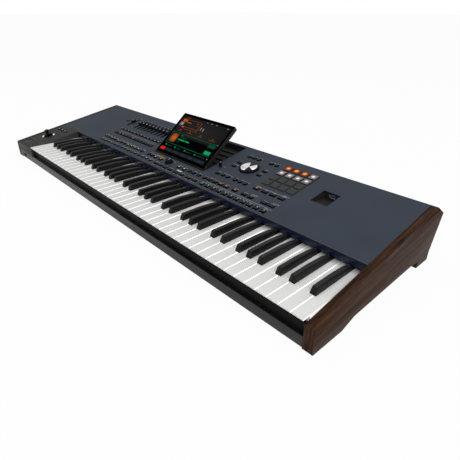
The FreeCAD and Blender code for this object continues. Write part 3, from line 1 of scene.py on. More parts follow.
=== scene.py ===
import json
import math
import random
from collections import namedtuple

import bmesh
import bpy
from mathutils import Euler, Matrix, Vector


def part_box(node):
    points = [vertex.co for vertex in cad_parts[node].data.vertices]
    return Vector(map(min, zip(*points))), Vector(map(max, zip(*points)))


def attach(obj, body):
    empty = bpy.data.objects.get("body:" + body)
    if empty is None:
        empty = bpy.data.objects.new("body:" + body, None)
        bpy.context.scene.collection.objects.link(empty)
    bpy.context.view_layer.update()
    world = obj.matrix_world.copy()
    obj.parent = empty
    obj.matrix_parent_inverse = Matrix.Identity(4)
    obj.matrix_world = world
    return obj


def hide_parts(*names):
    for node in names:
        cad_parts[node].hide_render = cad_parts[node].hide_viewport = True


bl_info = {
    "name": "Arranger keyboard dressing",
    "version": (1, 0, 0),
    "blender": (4, 5, 0),
    "location": "View3D > Sidebar > Keyboard",
    "description": "Finishes and small details on the frame of an arranger keyboard",
    "category": "Object",
}

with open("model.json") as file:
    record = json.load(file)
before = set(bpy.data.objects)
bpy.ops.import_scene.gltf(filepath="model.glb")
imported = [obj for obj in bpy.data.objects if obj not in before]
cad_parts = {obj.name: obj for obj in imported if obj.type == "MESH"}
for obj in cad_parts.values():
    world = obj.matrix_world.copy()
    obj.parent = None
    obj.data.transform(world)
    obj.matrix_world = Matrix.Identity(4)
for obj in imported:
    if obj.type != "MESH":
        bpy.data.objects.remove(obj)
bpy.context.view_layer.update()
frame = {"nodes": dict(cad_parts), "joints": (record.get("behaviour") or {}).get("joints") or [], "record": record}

MM = 0.001
WELD = 0.01 * MM
NODES = frame["nodes"]
JOINTS = {joint["name"]: joint for joint in frame["joints"]}
BODIES = frame["record"]["behaviour"]["bodies"]
BODY_OF = {node: body for body, nodes in BODIES.items() for node in nodes}

# The sloped top plane: to the right, up the slope and out of the panel
ACROSS = Vector((1, 0, 0))
ALONG = Vector(JOINTS["fader_caps_slide"]["axis"]).normalized()
NORMAL = ACROSS.cross(ALONG)
LEVEL = max(vertex.co.dot(NORMAL) for vertex in NODES["top_panel"].data.vertices)
PANEL = Matrix((ACROSS, ALONG, NORMAL)).transposed().to_4x4()
PANEL.translation = NORMAL * LEVEL
FROM_PANEL = PANEL.inverted()

# Where the keys start at the left, and where they pass under the navy band
KEYS_LEFT = min(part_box(node)[0].x for node in NODES if node.startswith("keys_"))
KEY_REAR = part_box("front_trim")[0].y

# Sockets of a Mix node that blends colours
FACTOR, FIRST, SECOND, BLENDED = 0, 6, 7, 2
# and of one that blends vectors
FIRST_VECTOR, SECOND_VECTOR, VECTOR = 4, 5, 1

# How strongly a matt and a glossy finish mirror, and one that mirrors nothing
MATT, GLOSSY, DULL = 0.25, 0.5, 0.0

Cap = namedtuple("Cap", "x along wide long low top rounded")


def colour(shade):
    """Linear red, green, blue and alpha of an sRGB hex value. A colour setting is linear already."""
    if not isinstance(shade, str):
        return tuple(shade)
    parts = [int(shade[start:start + 2], 16) / 255 for start in (1, 3, 5)]
    linear = [part / 12.92 if part <= 0.04045 else ((part + 0.055) / 1.055) ** 2.4
              for part in parts]
    return (*linear, 1.0)


def length(name, text, millimetres):
    return bpy.props.FloatProperty(
        name=name, description=text, default=millimetres * MM, unit="LENGTH", precision=4)


def tint(name, text, shade):
    return bpy.props.FloatVectorProperty(
        name=name, description=text, default=colour(shade), size=4, subtype="COLOR", min=0, max=1)


class KeyboardSizes(bpy.types.PropertyGroup):
    """Sizes of the edges and of the small details."""
    white_edge: length("White key edge", "Rounding of the white keys' edges", 0.45)
    black_edge: length("Black key edge", "Rounding of the black keys' edges", 1.3)
    cap_edge: length("Cap edge", "Rounding of the button caps", 0.5)
    pad_edge: length("Pad edge", "Rounding of the soft pads", 1.2)
    wood_edge: length("Wood edge", "Rounding of the wooden cheeks", 1.4)
    case_edge: length("Case edge", "Rounding of the moulded case parts", 0.5)
    print_height: length("Print height", "Thickness of the printed ink", 0.06)
    lens_height: length("Lens height", "How far a lamp lens stands out of its cap", 0.12)
    dash_width: length("Dash width", "Length of one dash of a printed label", 3.2)
    dash_long: length("Dash depth", "Depth of one dash of a printed label", 2.0)
    # The black rim round a cap is a painted shadow
    rim_width: length("Cap shadow", "Width of the black painted shadow round a button cap", 2.2)
    screw_radius: length("Screw head radius", "Radius of the panel screws", 1.7)


class KeyboardColours(bpy.types.PropertyGroup):
    """Main colours of the instrument."""
    panel_dark: tint("Panel dark", "Darker grain of the top panel", "#323945")
    panel_light: tint("Panel light", "Lighter grain of the top panel", "#404855")
    navy: tint("Navy band", "Lacquer of the band over the keys", "#0b1424")
    white_key: tint("White key", "White key tops", "#f3f3f2")
    black_key: tint("Black key", "Black key tops", "#212121")
    wood_dark: tint("Wood dark", "Dark streaks of the walnut", "#2a1a11")
    wood_light: tint("Wood light", "Light streaks of the walnut", "#5a3d2b")


def sizes():
    return bpy.context.scene.keyboard_sizes


def colours():
    return bpy.context.scene.keyboard_colours


def put(tree, kind, sockets=None, **settings):
    """Add a node, set its properties and fill or link its inputs."""
    made = tree.nodes.new(kind)
    for name, setting in settings.items():
        setattr(made, name, setting)
    for key, content in (sockets or {}).items():
        if isinstance(content, bpy.types.NodeSocket):
            tree.links.new(content, made.inputs[key])
        else:
            made.inputs[key].default_value = content
    return made


def mix(tree, factor, first, second):
    """The blend of two colours, each another node's output or a shade."""
    ends = [end if isinstance(end, bpy.types.NodeSocket) else colour(end)
            for end in (first, second)]
    sockets = dict(zip((FACTOR, FIRST, SECOND), (factor, *ends)))
    return put(tree, "ShaderNodeMix", sockets, data_type="RGBA").outputs[BLENDED]


def ramp(tree, content, start, end, low=0.0, high=1.0, curve="LINEAR"):
    """A value carried from the range of start and end to that of low and high."""
    sockets = {"Value": content, "From Min": start, "From Max": end, "To Min": low, "To Max": high}
    return put(tree, "ShaderNodeMapRange", sockets, interpolation_type=curve).outputs["Result"]


def maths(tree, operation, *values):
    """What an operation gives for some plain values."""
    sockets = dict(enumerate(values))
    return put(tree, "ShaderNodeMath", sockets, operation=operation).outputs["Value"]


def vectors(tree, operation, *values):
    """The outputs of an operation on vectors."""
    sockets = dict(enumerate(values))
    return put(tree, "ShaderNodeVectorMath", sockets, operation=operation).outputs


def noise(tree, place, scale, **sockets):
    """Cloudy noise, its scale in blotches to a metre."""
    sockets = {"Vector": place, "Scale": scale, **sockets}
    return put(tree, "ShaderNodeTexNoise", sockets).outputs["Fac"]


def parted(tree, vector):
    """The X, Y and Z of a vector."""
    return put(tree, "ShaderNodeSeparateXYZ", {"Vector": vector}).outputs


def new_finish(name, **sockets):
    """An empty material with one main shader, its even values set on the shader's own sockets."""
    material = bpy.data.materials.new(name)
    material.use_nodes = True
    tree = material.node_tree
    tree.nodes.clear()
    even = {key.replace("_", " "): content for key, content in sockets.items()}
    shader = put(tree, "ShaderNodeBsdfPrincipled", even)
    put(tree, "ShaderNodeOutputMaterial", {"Surface": shader.outputs["BSDF"]})
    return material, tree, shader


def feed(tree, shader, **outputs):
    """Link outputs to the main shader, an underscore standing for a space in a socket's name."""
    for key, output in outputs.items():
        tree.links.new(output, shader.inputs[key.replace("_", " ")])


def grained(name, dark, light, grain, rough, relief=0.0, painted_side_shade=None, shine=MATT, **sockets):
    """A finish whose colour and gloss vary from grain to grain, with a grain size in millimetres.
    A darker colour may be painted on the sides as shade."""
    material, tree, shader = new_finish(name, Specular_IOR_Level=shine, **sockets)
    place = put(tree, "ShaderNodeTexCoord").outputs
    fine = noise(tree, place["Object"], 1 / (grain * MM), Detail=3.0, Roughness=0.6)
    # A slow drift over sixty grains shifts the fine pattern
    drift = noise(tree, place["Object"], 1 / (grain * 60 * MM))
    tone = mix(tree, maths(tree, "MULTIPLY_ADD", fine, drift, 0.25), dark, light)
    # Painted shade: faces that lean away from the panel's normal take the darker colour
    if painted_side_shade:
        steep, level = 0.7, 0.93
        lift = vectors(tree, "DOT_PRODUCT", place["Normal"], tuple(NORMAL))["Value"]
        tone = mix(tree, ramp(tree, lift, steep, level), painted_side_shade, tone)
    feed(tree, shader, Base_Color=tone, Roughness=ramp(tree, fine, 0.0, 1.0, *rough))
    if relief:
        bumps = {"Height": fine, "Distance": relief * MM, "Strength": 0.6}
        feed(tree, shader, Normal=put(tree, "ShaderNodeBump", bumps).outputs["Normal"])
    return material


def glowing(name, middle, rim, reach=0.55):
    """A plate lit by its own light, a lamp lens, a screen cell or a painted highlight: its light
    alone gives the colour, brightest in the middle of its plate.
    """
    material, tree, shader = new_finish(name, Base_Color=colour("#050505"), Roughness=0.5,
                                        Specular_IOR_Level=DULL, Emission_Strength=1.0)
    local = put(tree, "ShaderNodeAttribute", attribute_name="local").outputs["Vector"]
    flat = vectors(tree, "MULTIPLY", local, (1.0, 1.0, 0.0))["Vector"]
    away = vectors(tree, "LENGTH", flat)["Value"]
    core = 0.04
    fade = ramp(tree, away, core, reach, curve="SMOOTHSTEP")
    feed(tree, shader, Emission_Color=mix(tree, fade, middle, rim))
    return material


def acrylic():
    """Moulded white acrylic: milky, half gloss. Its sides glow with painted light, so the gaps shine
    white, and the back of its top is darkened by a painted shadow."""
    material, tree, shader = new_finish("Moulded white acrylic", Specular_IOR_Level=0.4,
                                        Emission_Color=colour("#ffffff"))
    place = put(tree, "ShaderNodeTexCoord").outputs
    cloud_size, rough = 9 * MM, (0.26, 0.36)
    cloud = noise(tree, place["Object"], 1 / cloud_size)
    tone = mix(tree, cloud, colours().white_key, "#f8f8f7")
    side = maths(tree, "ABSOLUTE", parted(tree, place["Normal"])["X"])
    # Painted light: the sides of the keys glow white
    painted_wall_glow = ramp(tree, side, 0.35, 0.85, high=0.65)
    depth = parted(tree, place["Object"])["Y"]
    # The sides' painted glow fades over the last 25 mm; a painted shadow greys the last 16 mm
    near = ramp(tree, depth, KEY_REAR - 25 * MM, KEY_REAR, 1.0, 0.1)
    painted_rear_shade = ramp(tree, depth, KEY_REAR - 16 * MM, KEY_REAR - 1 * MM, high=0.6)
    # Painted shadow: the tops turn grey towards the back, under the navy band
    feed(tree, shader, Base_Color=mix(tree, painted_rear_shade, tone, "#4a4a48"),
         Roughness=ramp(tree, cloud, 0.0, 1.0, *rough),
         Emission_Strength=maths(tree, "MULTIPLY", painted_wall_glow, near))
    return material


def walnut():
    """Walnut veneer: long dark streaks, fine pores that follow them, an oiled half gloss."""
    material, tree, shader = new_finish("Oiled walnut veneer", Specular_IOR_Level=0.04)
    place = put(tree, "ShaderNodeTexCoord").outputs
    # The grain leans a little over half as much as the top
    lean = math.atan2(ALONG.z, ALONG.y) * 0.6
    leaning = put(tree, "ShaderNodeMapping", {"Vector": place["Object"],
                                              "Rotation": (-lean, 0.0, 0.0)}).outputs["Vector"]
    # Streaks about 5 mm wide and 240 mm long, which run upwards on the front and back ends
    across, lengthwise = 1 / (5 * MM), 1 / (240 * MM)
    end = maths(tree, "ABSOLUTE", parted(tree, place["Normal"])["Y"])
    stretch = put(tree, "ShaderNodeMix", {FACTOR: ramp(tree, end, 0.6, 0.75),
                                          FIRST_VECTOR: (across, lengthwise, across),
                                          SECOND_VECTOR: (across, across, lengthwise)},
                  data_type="VECTOR").outputs[VECTOR]
    slow = vectors(tree, "MULTIPLY", leaning, stretch)["Vector"]
    figure = noise(tree, slow, 1.0, Detail=4.0, Roughness=0.6, Distortion=0.4)
    # Pores eight times finer
    pores = noise(tree, slow, 8.0, Detail=2.0)
    base = mix(tree, ramp(tree, figure, 0.34, 0.66), colours().wood_dark, colours().wood_light)
    open_pore = ramp(tree, pores, 0.35, 0.6, 0.45, 0.0)
    bump = put(tree, "ShaderNodeBump", {"Height": pores, "Distance": 0.12 * MM, "Strength": 0.5})
    feed(tree, shader, Base_Color=mix(tree, open_pore, base, "#1d130d"),
         Roughness=ramp(tree, pores, 0.0, 1.0, 0.55, 0.38), Normal=bump.outputs["Normal"])
    return material


def spun(name, dark, light, beats, low, high, **sockets):
    """Metal spun on a lathe. The wedge-shaped sheen is a painted reflection that also glows, drawn
    as a sum of waves about the middle, each with a count and a start, because the white studio
    mirrors no dark."""
    material, tree, shader = new_finish(name, **sockets)
    local = put(tree, "ShaderNodeAttribute", attribute_name="local").outputs["Vector"]
    parts = parted(tree, local)
    angle = maths(tree, "ARCTAN2", parts["Y"], parts["X"])
    total = 0.0
    for count, start in beats:
        wave = maths(tree, "SINE", maths(tree, "MULTIPLY_ADD", angle, count, start))
        total = maths(tree, "ADD", wave, total)
    tone = mix(tree, ramp(tree, total, low, high, curve="SMOOTHSTEP"), dark, light)
    feed(tree, shader, Base_Color=tone, Emission_Color=tone)
    return material


# Lamp lenses by the letter that stands for them in a row: colour, shade in the middle, at the rim
LENSES = (
    ("c", "Cyan", "#62cfdc", "#215e68"), ("y", "Yellow", "#d9cb46", "#6d621a"),
    ("b", "Blue", "#6a84d4", "#222f66"), ("g", "Green", "#97c43c", "#374f16"),
    ("m", "Magenta", "#c453c2", "#561d58"), ("p", "Pale pink", "#d9c3ca", "#5d4d54"),
    ("v", "Violet", "#bb9cd4", "#77578f"), ("o", "Orange", "#ff9c4a", "#94431a"),
    ("w", "White", "#f4f4f2", "#62625c"), ("e", "Emerald", "#3cc48c", "#17503a"),
    ("r", "Red", "#e64a34", "#6a1710"),
)
# Areas of the screen, which glow almost evenly
SCREEN_REACH = 0.7
SCREEN_SHADES = (
    ("screen_orange", "Orange screen cell", "#b8581c", "#9c4a17"),
    ("screen_rust", "Rust screen cell", "#7a3a12", "#6a3210"),
    ("screen_green", "Green screen cell", "#10925c", "#0d7a4c"),
    ("screen_mint", "Mint screen cell", "#0fa066", "#0d8c59"),
    ("screen_dim", "Dim green screen cell", "#0b4a32", "#093c28"),
    ("screen_red", "Red screen cell", "#d02c14", "#b82410"),
    ("screen_slate", "Slate screen cell", "#242c35", "#1c232b"),
    ("screen_grey", "Grey screen ground", "#222223", "#161617"),
    ("screen_white", "White screen cell", "#8e8e8e", "#6c6c6c"),
    ("screen_violet", "Violet screen cell", "#6a3fa0", "#4d2c7c"),
    ("screen_photo", "Warm screen picture", "#b4602c", "#55200e"),
)


def make_finishes():
    """All finishes by the name of what they are on."""
    paint = colours()
    made = {
        # Powder-coated steel: a fine orange-peel with tiny light grains, drawn at 1.2 mm so that
        # they show, and the walls of the holes painted dark as shade
        "panel": grained("Slate powder coat on steel", paint.panel_dark, paint.panel_light, 1.2,
                         (0.42, 0.58), 0.03, "#09090b", shine=0.22),
        # The same coat, lighter, as a painted highlight along the folded front edge
        "painted_edge_highlight": grained("Slate powder coat, painted edge highlight", "#3f4651", "#4a515c", 3.0, (0.3, 0.45),
                        shine=0.22),
        # Lacquer: deep blue with soft cloudy patches
        "navy": grained("Navy lacquer", paint.navy, "#182640", 14.0, (0.24, 0.32), shine=0.35),
        "wood": walnut(),
        "white_key": acrylic(),
        # Moulded ABS: a satin top, with the sides painted darker as shade
        "black_key": grained("Satin black ABS key", paint.black_key, "#2a2a2a", 2.5, (0.36, 0.5),
                             0.02, "#0d0d0d", shine=0.3),
        "rail": grained("Grey paint on aluminium rail", "#343434", "#3e3e3d", 1.0, (0.4, 0.55),
                        0.02),
        "slip": grained("Black satin key slip", "#0c0c0c", "#141414", 1.0, (0.5, 0.65), 0.02,
                        shine=0.12),
        # ABS with a spark-eroded grain
        "housing": grained("Grained grey ABS", "#30302f", "#3c3c3b", 0.9, (0.5, 0.7), 0.06),
        "black": grained("Moulded black ABS", "#0b0b0c", "#141415", 1.2, (0.4, 0.6), 0.03,
                         shine=0.12),
        "well": grained("Dark ribbed ABS", "#1d1d1d", "#2c2c2b", 1.2, (0.5, 0.7), 0.03),
        "recess": grained("Brown-black recess ABS", "#2b2926", "#383532", 1.2, (0.5, 0.7), 0.03,
                          shine=0.12),
        # Moulded caps: a grey top, with the sides painted black as shade
        "button": grained("Moulded button ABS", "#262625", "#333230", 1.4, (0.4, 0.55), 0.02,
                          "#050505", shine=0.2),
        # Polished caps, with the sides painted darker as shade
        "gloss": grained("Polished smoke button", "#141516", "#1d1e20", 3.0, (0.12, 0.22),
                         painted_side_shade="#060606", shine=0.4),
        "pad": grained("Silicone pad", "#3a3a38", "#464644", 0.8, (0.6, 0.75), 0.03),
        "ribbon": grained("Ribbon foil", "#202020", "#2b2b2b", 1.0, (0.3, 0.45), 0.01),
        "steel": grained("Galvanised steel", "#8d9093", "#a9acae", 5.0, (0.35, 0.55), 0.02,
                         shine=GLOSSY, Metallic=1.0),
        "screw": grained("Blackened steel screw", "#1b1b1c", "#2d2d2f", 0.6, (0.3, 0.45), 0.01,
                         shine=GLOSSY, Metallic=0.6),
        "rear": grained("Black powder coat on steel", "#151617", "#202224", 1.2, (0.45, 0.6), 0.03),
        "rubber": grained("Black rubber", "#121212", "#1d1d1d", 0.8, (0.75, 0.9), 0.06),
        "felt": grained("Red felt", "#5c1418", "#7a2226", 0.7, (0.9, 1.0), 0.2, shine=GLOSSY,
                        Sheen_Weight=0.5),
        "board": grained("Solder mask on glass fibre", "#123a24", "#1c4f31", 2.0, (0.3, 0.45), 0.01,
                         shine=GLOSSY),
        "display": grained("Moulded display shell", "#1e1f20", "#2a2b2c", 1.0, (0.4, 0.55), 0.02),
        # Coated black glass: deep, with hardly any reflection
        "glass": grained("Black cover glass", "#020203", "#060608", 20.0, (0.2, 0.3), shine=DULL),
        "chrome": spun("Spun chrome", "#1c1d1f", "#ffffff", ((3, 0.5), (2, 1.1)), -0.75, 0.1,
                       Metallic=1.0, Roughness=0.16, Emission_Strength=0.35),
        # Black bezel, polished, with painted highlights at its left and right, which also glow
        "bezel": spun("Polished black bezel", "#0c0c0d", "#f2f2f2", ((2, -0.45),), 0.6, 0.95,
                      Roughness=0.2, Specular_IOR_Level=0.1, Emission_Strength=0.5),
        "blue": grained("Blue port plastic", "#0e3288", "#1846a6", 1.0, (0.4, 0.5)),
        "shell": grained("Nickel-plated port shell", "#a9acb0", "#cfd1d4", 1.5, (0.3, 0.45),
                         shine=GLOSSY, Metallic=0.2),
        # Screen-printed ink: a thin matt film
        "ink": grained("Pale printed ink", "#8f9399", "#bcbfc4", 0.8, (0.6, 0.8)),
        # Black ink, used for the painted shadows too, has no gloss of its own, so it stays black at a
        # flat angle
        "black_ink_and_shadow": grained("Black ink and painted shadow", "#050506", "#0b0b0c", 0.8, (0.8, 0.9),
                             shine=DULL),
        "white_ink": grained("White printed ink", "#d8d8d6", "#f0f0ee", 0.8, (0.6, 0.8),
                             shine=GLOSSY),
        "yellow_ink": grained("Yellow printed ink", "#b48a1c", "#d8ae34", 0.8, (0.6, 0.8),
                              shine=GLOSSY),
        # A painted highlight for the glossy sound caps, a plate that glows
        "painted_cap_glint": glowing("Painted glint on smoke button", "#b4b3af", "#1d1d1c", 0.5),
        "pad_orange": glowing("Orange pad glow", "#ffb868", "#7c2d10", 0.47),
        "pad_white": glowing("White pad glow", "#ffffff", "#82777a", 0.36),
    }
    for letter, name, middle, rim in LENSES:
        made[letter] = glowing(name + " lamp lens", middle, rim)
    for finish, name, middle, rim in SCREEN_SHADES:
        made[finish] = glowing(name, middle, rim, SCREEN_REACH)
    return made


FINISHES = {}


def mesh_of(build, name):
    """A mesh filled by a function that works on an empty bmesh."""
    shape = bmesh.new()
    build(shape)
    mesh = bpy.data.meshes.new(name)
    shape.to_mesh(mesh)
    shape.free()
    return mesh


def baked(mesh, kind, settings, inputs=None):
    """The plain mesh that a mesh has after one modifier, with its settings and node inputs."""
    holder = bpy.data.objects.new("holder", mesh)
    bpy.context.scene.collection.objects.link(holder)
    modifier = holder.modifiers.new(kind, kind)
    for name, setting in settings.items():
        setattr(modifier, name, setting)
    for name, content in (inputs or {}).items():
        modifier[name] = content
    graph = bpy.context.evaluated_depsgraph_get()
    plain = bpy.data.meshes.new_from_object(holder.evaluated_get(graph),
                                            preserve_all_data_layers=True, depsgraph=graph)
    bpy.data.objects.remove(holder)
    return plain


def piece(name, mesh, node, finish, stands_for=()):
    """Put a finished mesh into the scene and make it ride on the body of a CAD node."""
    if not mesh.polygons:
        raise ValueError("nothing was made for " + name)
    mesh.name = name
    mesh.materials.clear()
    mesh.materials.append(FINISHES[finish])
    thing = bpy.data.objects.new(name, mesh)
    bpy.context.scene.collection.objects.link(thing)
    body = BODY_OF[node]
    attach(thing, body)
    if stands_for:
        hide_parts(*stands_for)
    return thing


def rounded(mesh, width, segments=2, angle=30):
    """The mesh with its sharp edges rounded over."""
    mesh.shade_smooth()
    settings = {"width": width, "segments": segments, "limit_method": "ANGLE",
                "angle_limit": math.radians(angle), "harden_normals": True,
                "use_clamp_overlap": True}
    return baked(mesh, "BEVEL", settings)


def merged_copy(node):
    """A copy of a CAD mesh, welded, with flat faces joined."""
    flat = math.radians(0.6)

    def build(shape):
        shape.from_mesh(NODES[node].data)
        bmesh.ops.remove_doubles(shape, verts=shape.verts, dist=WELD)
        bmesh.ops.dissolve_limit(shape, angle_limit=flat, verts=shape.verts, edges=shape.edges)
    return mesh_of(build, node + "_copy")


def dressed(node, width, finish, segments=2, angle=30):
    """A CAD node's own shape with rounded edges and its finish."""
    mesh = rounded(merged_copy(node), width, segments, angle)
    return piece(node + "_dressed", mesh, node, finish, (node,))


def paint(node, finish):
    """Give a CAD node that keeps its shape a finish."""
    mesh = NODES[node].data
    mesh.materials.clear()
    mesh.materials.append(FINISHES[finish])


def islands(node):
    """The separate solids of a node, each as a list of corners in panel coordinates."""
    shape = bmesh.new()
    shape.from_mesh(NODES[node].data)
    bmesh.ops.remove_doubles(shape, verts=shape.verts, dist=WELD)
    unseen = set(shape.verts)
    found = []
    while unseen:
        stack = [unseen.pop()]
        corners = []
        while stack:
            vertex = stack.pop()
            corners.append(FROM_PANEL @ vertex.co)
            for edge in vertex.link_edges:
                other = edge.other_vert(vertex)
                if other in unseen:
                    unseen.remove(other)
                    stack.append(other)
        found.append(corners)
    shape.free()
    return found


def panel_corners(node):
    """All corners of a node in panel coordinates."""
    return [FROM_PANEL @ vertex.co for vertex in NODES[node].data.vertices]


def caps(node):
    """The caps of a node on the panel, from left to right. One with more than four corners at its
    foot is round."""
    found = []
    for corners in islands(node):
        low, top = min(c.z for c in corners), max(c.z for c in corners)
        xs, ys = [c.x for c in corners], [c.y for c in corners]
        foot = [c for c in corners if c.z < low + MM]
        found.append(Cap((min(xs) + max(xs)) / 2, (min(ys) + max(ys)) / 2,
                         max(xs) - min(xs), max(ys) - min(ys), low, top, len(foot) > 4))
    return sorted(found, key=lambda cap: cap.x)


def rows(node, gap=6 * MM):
    """The caps of a node in rows from front to back, each from left to right."""
    found = []
    for cap in sorted(caps(node), key=lambda cap: cap.along):
        if found and cap.along - found[-1][-1].along < gap:
            found[-1].append(cap)
        else:
            found.append([cap])
    return [sorted(row, key=lambda cap: cap.x) for row in found]


def turned(profile, sides, place):
    """A shape turned about its own Z from radius and height pairs, set in a place, with its own
    coordinates kept for patterns."""
    def build(shape):
        local = shape.verts.layers.float_vector.new("local")
        widest = max(radius for radius, height in profile)
        rings = []
        for radius, height in profile:
            ring = []
            for index in range(sides if radius else 1):
                angle = math.tau * index / sides
                point = Vector((radius * math.cos(angle), radius * math.sin(angle), height))
                vertex = shape.verts.new(place @ point)
                vertex[local] = point / (2 * widest)
                ring.append(vertex)
            rings.append(ring)
        for lower, upper in zip(rings, rings[1:]):
            for index in range(sides):
                after = (index + 1) % sides
                around = [lower[index % len(lower)], lower[after % len(lower)],
                          upper[after % len(upper)], upper[index % len(upper)]]
                corners = list(dict.fromkeys(around))
                if len(corners) > 2:
                    shape.faces.new(corners)
        bmesh.ops.recalc_face_normals(shape, faces=shape.faces)
    mesh = mesh_of(build, "turned")
    mesh.shade_smooth()
    return mesh


def soft_edges(mesh, angle=35):
    """Smooth shading that keeps the sharp edges."""
    mesh.shade_smooth()
    mesh.set_sharp_from_angle(angle=math.radians(angle))
    return mesh


def at_panel(x, along, lift=0.0):
    """A place on the panel, for a shape."""
    return PANEL @ Matrix.Translation((x, along, lift))


def on_panel(x, along, lift=0.0):
    """A point on the panel."""
    return PANEL @ Vector((x, along, lift))


def top_of(cap):
    """The middle of a cap's top."""
    return on_panel(cap.x, cap.along, cap.top)


def radius_of(cap):
    """The radius of a round cap."""
    return max(cap.wide, cap.long) / 2


def sunk(height):
    """The depth of a plate whose middle lies in a surface and which stands out by a height."""
    return height * 2


def block(shape, place, wide, long, low, top, inset=0.0):
    """Add a box on a plane to a bmesh, its top drawn in by an inset, its own coordinates kept."""
    layers = shape.verts.layers.float_vector
    local = layers.get("local") or layers.new("local")
    corners = []
    for height, draw in ((low, 0.0), (top, inset)):
        for side, end in ((-1, -1), (1, -1), (1, 1), (-1, 1)):
            point = Vector((side * (wide / 2 - draw), end * (long / 2 - draw), height))
            vertex = shape.verts.new(place @ point)
            vertex[local] = (side / 2, end / 2, 0.0)
            corners.append(vertex)
    for around in ((3, 2, 1, 0), (4, 5, 6, 7), (0, 1, 5, 4), (1, 2, 6, 5), (2, 3, 7, 6),
                   (3, 0, 4, 7)):
        shape.faces.new([corners[index] for index in around])


def washer(shape, place, inner, width, top, sides=24):
    """Add a thin flat ring on a plane to a bmesh."""
    outer = inner + width
    turns = [math.tau * index / sides for index in range(sides)]
    rings = []
    for radius, height in ((inner, 0.0), (outer, 0.0), (outer, top), (inner, top)):
        points = [Vector((radius * math.cos(turn), radius * math.sin(turn), height))
                  for turn in turns]
        rings.append([shape.verts.new(place @ point) for point in points])
    for low, high in zip(rings, rings[1:] + rings[:1]):
        for index in range(sides):
            after = (index + 1) % sides
            shape.faces.new((low[index], low[after], high[after], high[index]))


def copies_tree(name, kind, shape_sockets):
    """A tree that sets one shape on every point, with inputs for its size, turn, spread and
    finish."""
    tree = bpy.data.node_groups.new(name, "GeometryNodeTree")
    sockets = {}
    for label, sort in (("Points", "Geometry"), ("Width", "Float"), ("Long", "Float"),
                        ("Height", "Float"), ("Spread", "Float"), ("Turn", "Rotation"),
                        ("Finish", "Material")):
        made = tree.interface.new_socket(label, in_out="INPUT", socket_type="NodeSocket" + sort)
        sockets[label] = made.identifier
    tree.interface.new_socket("Copies", in_out="OUTPUT", socket_type="NodeSocketGeometry")
    given = put(tree, "NodeGroupInput").outputs
    shape = put(tree, kind, shape_sockets)
    own = put(tree, "GeometryNodeInputPosition")
    marked = put(tree, "GeometryNodeStoreNamedAttribute",
                 {"Geometry": shape.outputs["Mesh"], "Name": "local"},
                 data_type="FLOAT_VECTOR", domain="POINT")
    tree.links.new(own.outputs["Position"], marked.inputs["Value"])
    # Each copy is as wide as a random share between one less the spread and one
    share = put(tree, "FunctionNodeRandomValue", {"Seed": 7}, data_type="FLOAT")
    tree.links.new(maths(tree, "SUBTRACT", 1.0, given["Spread"]), share.inputs[2])
    wide = maths(tree, "MULTIPLY", given["Width"], share.outputs[1])
    scale = put(tree, "ShaderNodeCombineXYZ",
                {"X": wide, "Y": given["Long"], "Z": given["Height"]})
    copied = put(tree, "GeometryNodeInstanceOnPoints",
                 {"Points": given["Points"], "Instance": marked.outputs["Geometry"],
                  "Rotation": given["Turn"], "Scale": scale.outputs["Vector"]})
    real = put(tree, "GeometryNodeRealizeInstances", {"Geometry": copied.outputs["Instances"]})
    dyed = put(tree, "GeometryNodeSetMaterial",
               {"Geometry": real.outputs["Geometry"], "Material": given["Finish"]})
    put(tree, "NodeGroupOutput", {"Copies": dyed.outputs["Geometry"]})
    return tree, sockets


TREES = {}


def make_trees():
    """The trees for flat plates and for discs, each one unit wide."""
    TREES["plate"] = copies_tree("Plates on points", "GeometryNodeMeshCube",
                                 {"Size": (1.0, 1.0, 1.0)})
    TREES["disc"] = copies_tree("Discs on points", "GeometryNodeMeshCylinder",
                                {"Vertices": 20, "Radius": 0.5, "Depth": 1.0})


def copies(name, kind, points, node, finish, wide, long, high, spread=0.0, turn=None,
           stands_for=()):
    """One shape on every point, turned onto the panel unless a turn is given."""
    tree, sockets = TREES[kind]
    mesh = bpy.data.meshes.new(name)
    mesh.from_pydata([tuple(point) for point in points], [], [])
    given = {"Width": wide, "Long": long, "Height": high, "Spread": spread,
             "Turn": PANEL.to_euler() if turn is None else turn, "Finish": FINISHES[finish]}
    inputs = {sockets[label]: content for label, content in given.items()}
    plain = baked(mesh, "NODES", {"node_group": tree}, inputs)
    return piece(name, plain, node, finish, stands_for)


class KEYBOARD_OT_keys(bpy.types.Operator):
    """Round the edges of the keys and give them their acrylic and ABS"""
    bl_idname = "keyboard.keys"
    bl_label = "Keys"

    def execute(self, context):
        for node in sorted(NODES):
            if node.startswith("keys_"):
                black = node.endswith("sharp")
                width = sizes().black_edge if black else sizes().white_edge
                finish = "black_key" if black else "white_key"
                dressed(node, width, finish, segments=3)
        return {"FINISHED"}


# Nodes that keep their CAD shape, by finish
PAINTED = {
    "panel": ("top_panel",),
    "rear": ("rear_panel",),
    "steel": ("bottom_chassis", "keybed_frame", "key_pivot_rod", "power_supply"),
    "rubber": ("rubber_feet",),
    "well": ("display_well",),
    "recess": ("usb_recess",),
    "shell": ("usb_port",),
    "black": ("rear_sockets", "power_inlet", "power_switch", "headphone_jack", "fader_tracks",
              "joystick_gimbal"),
    "felt": ("key_stop_felt",),
    "board": ("contact_board", "main_board", "panel_board"),
}


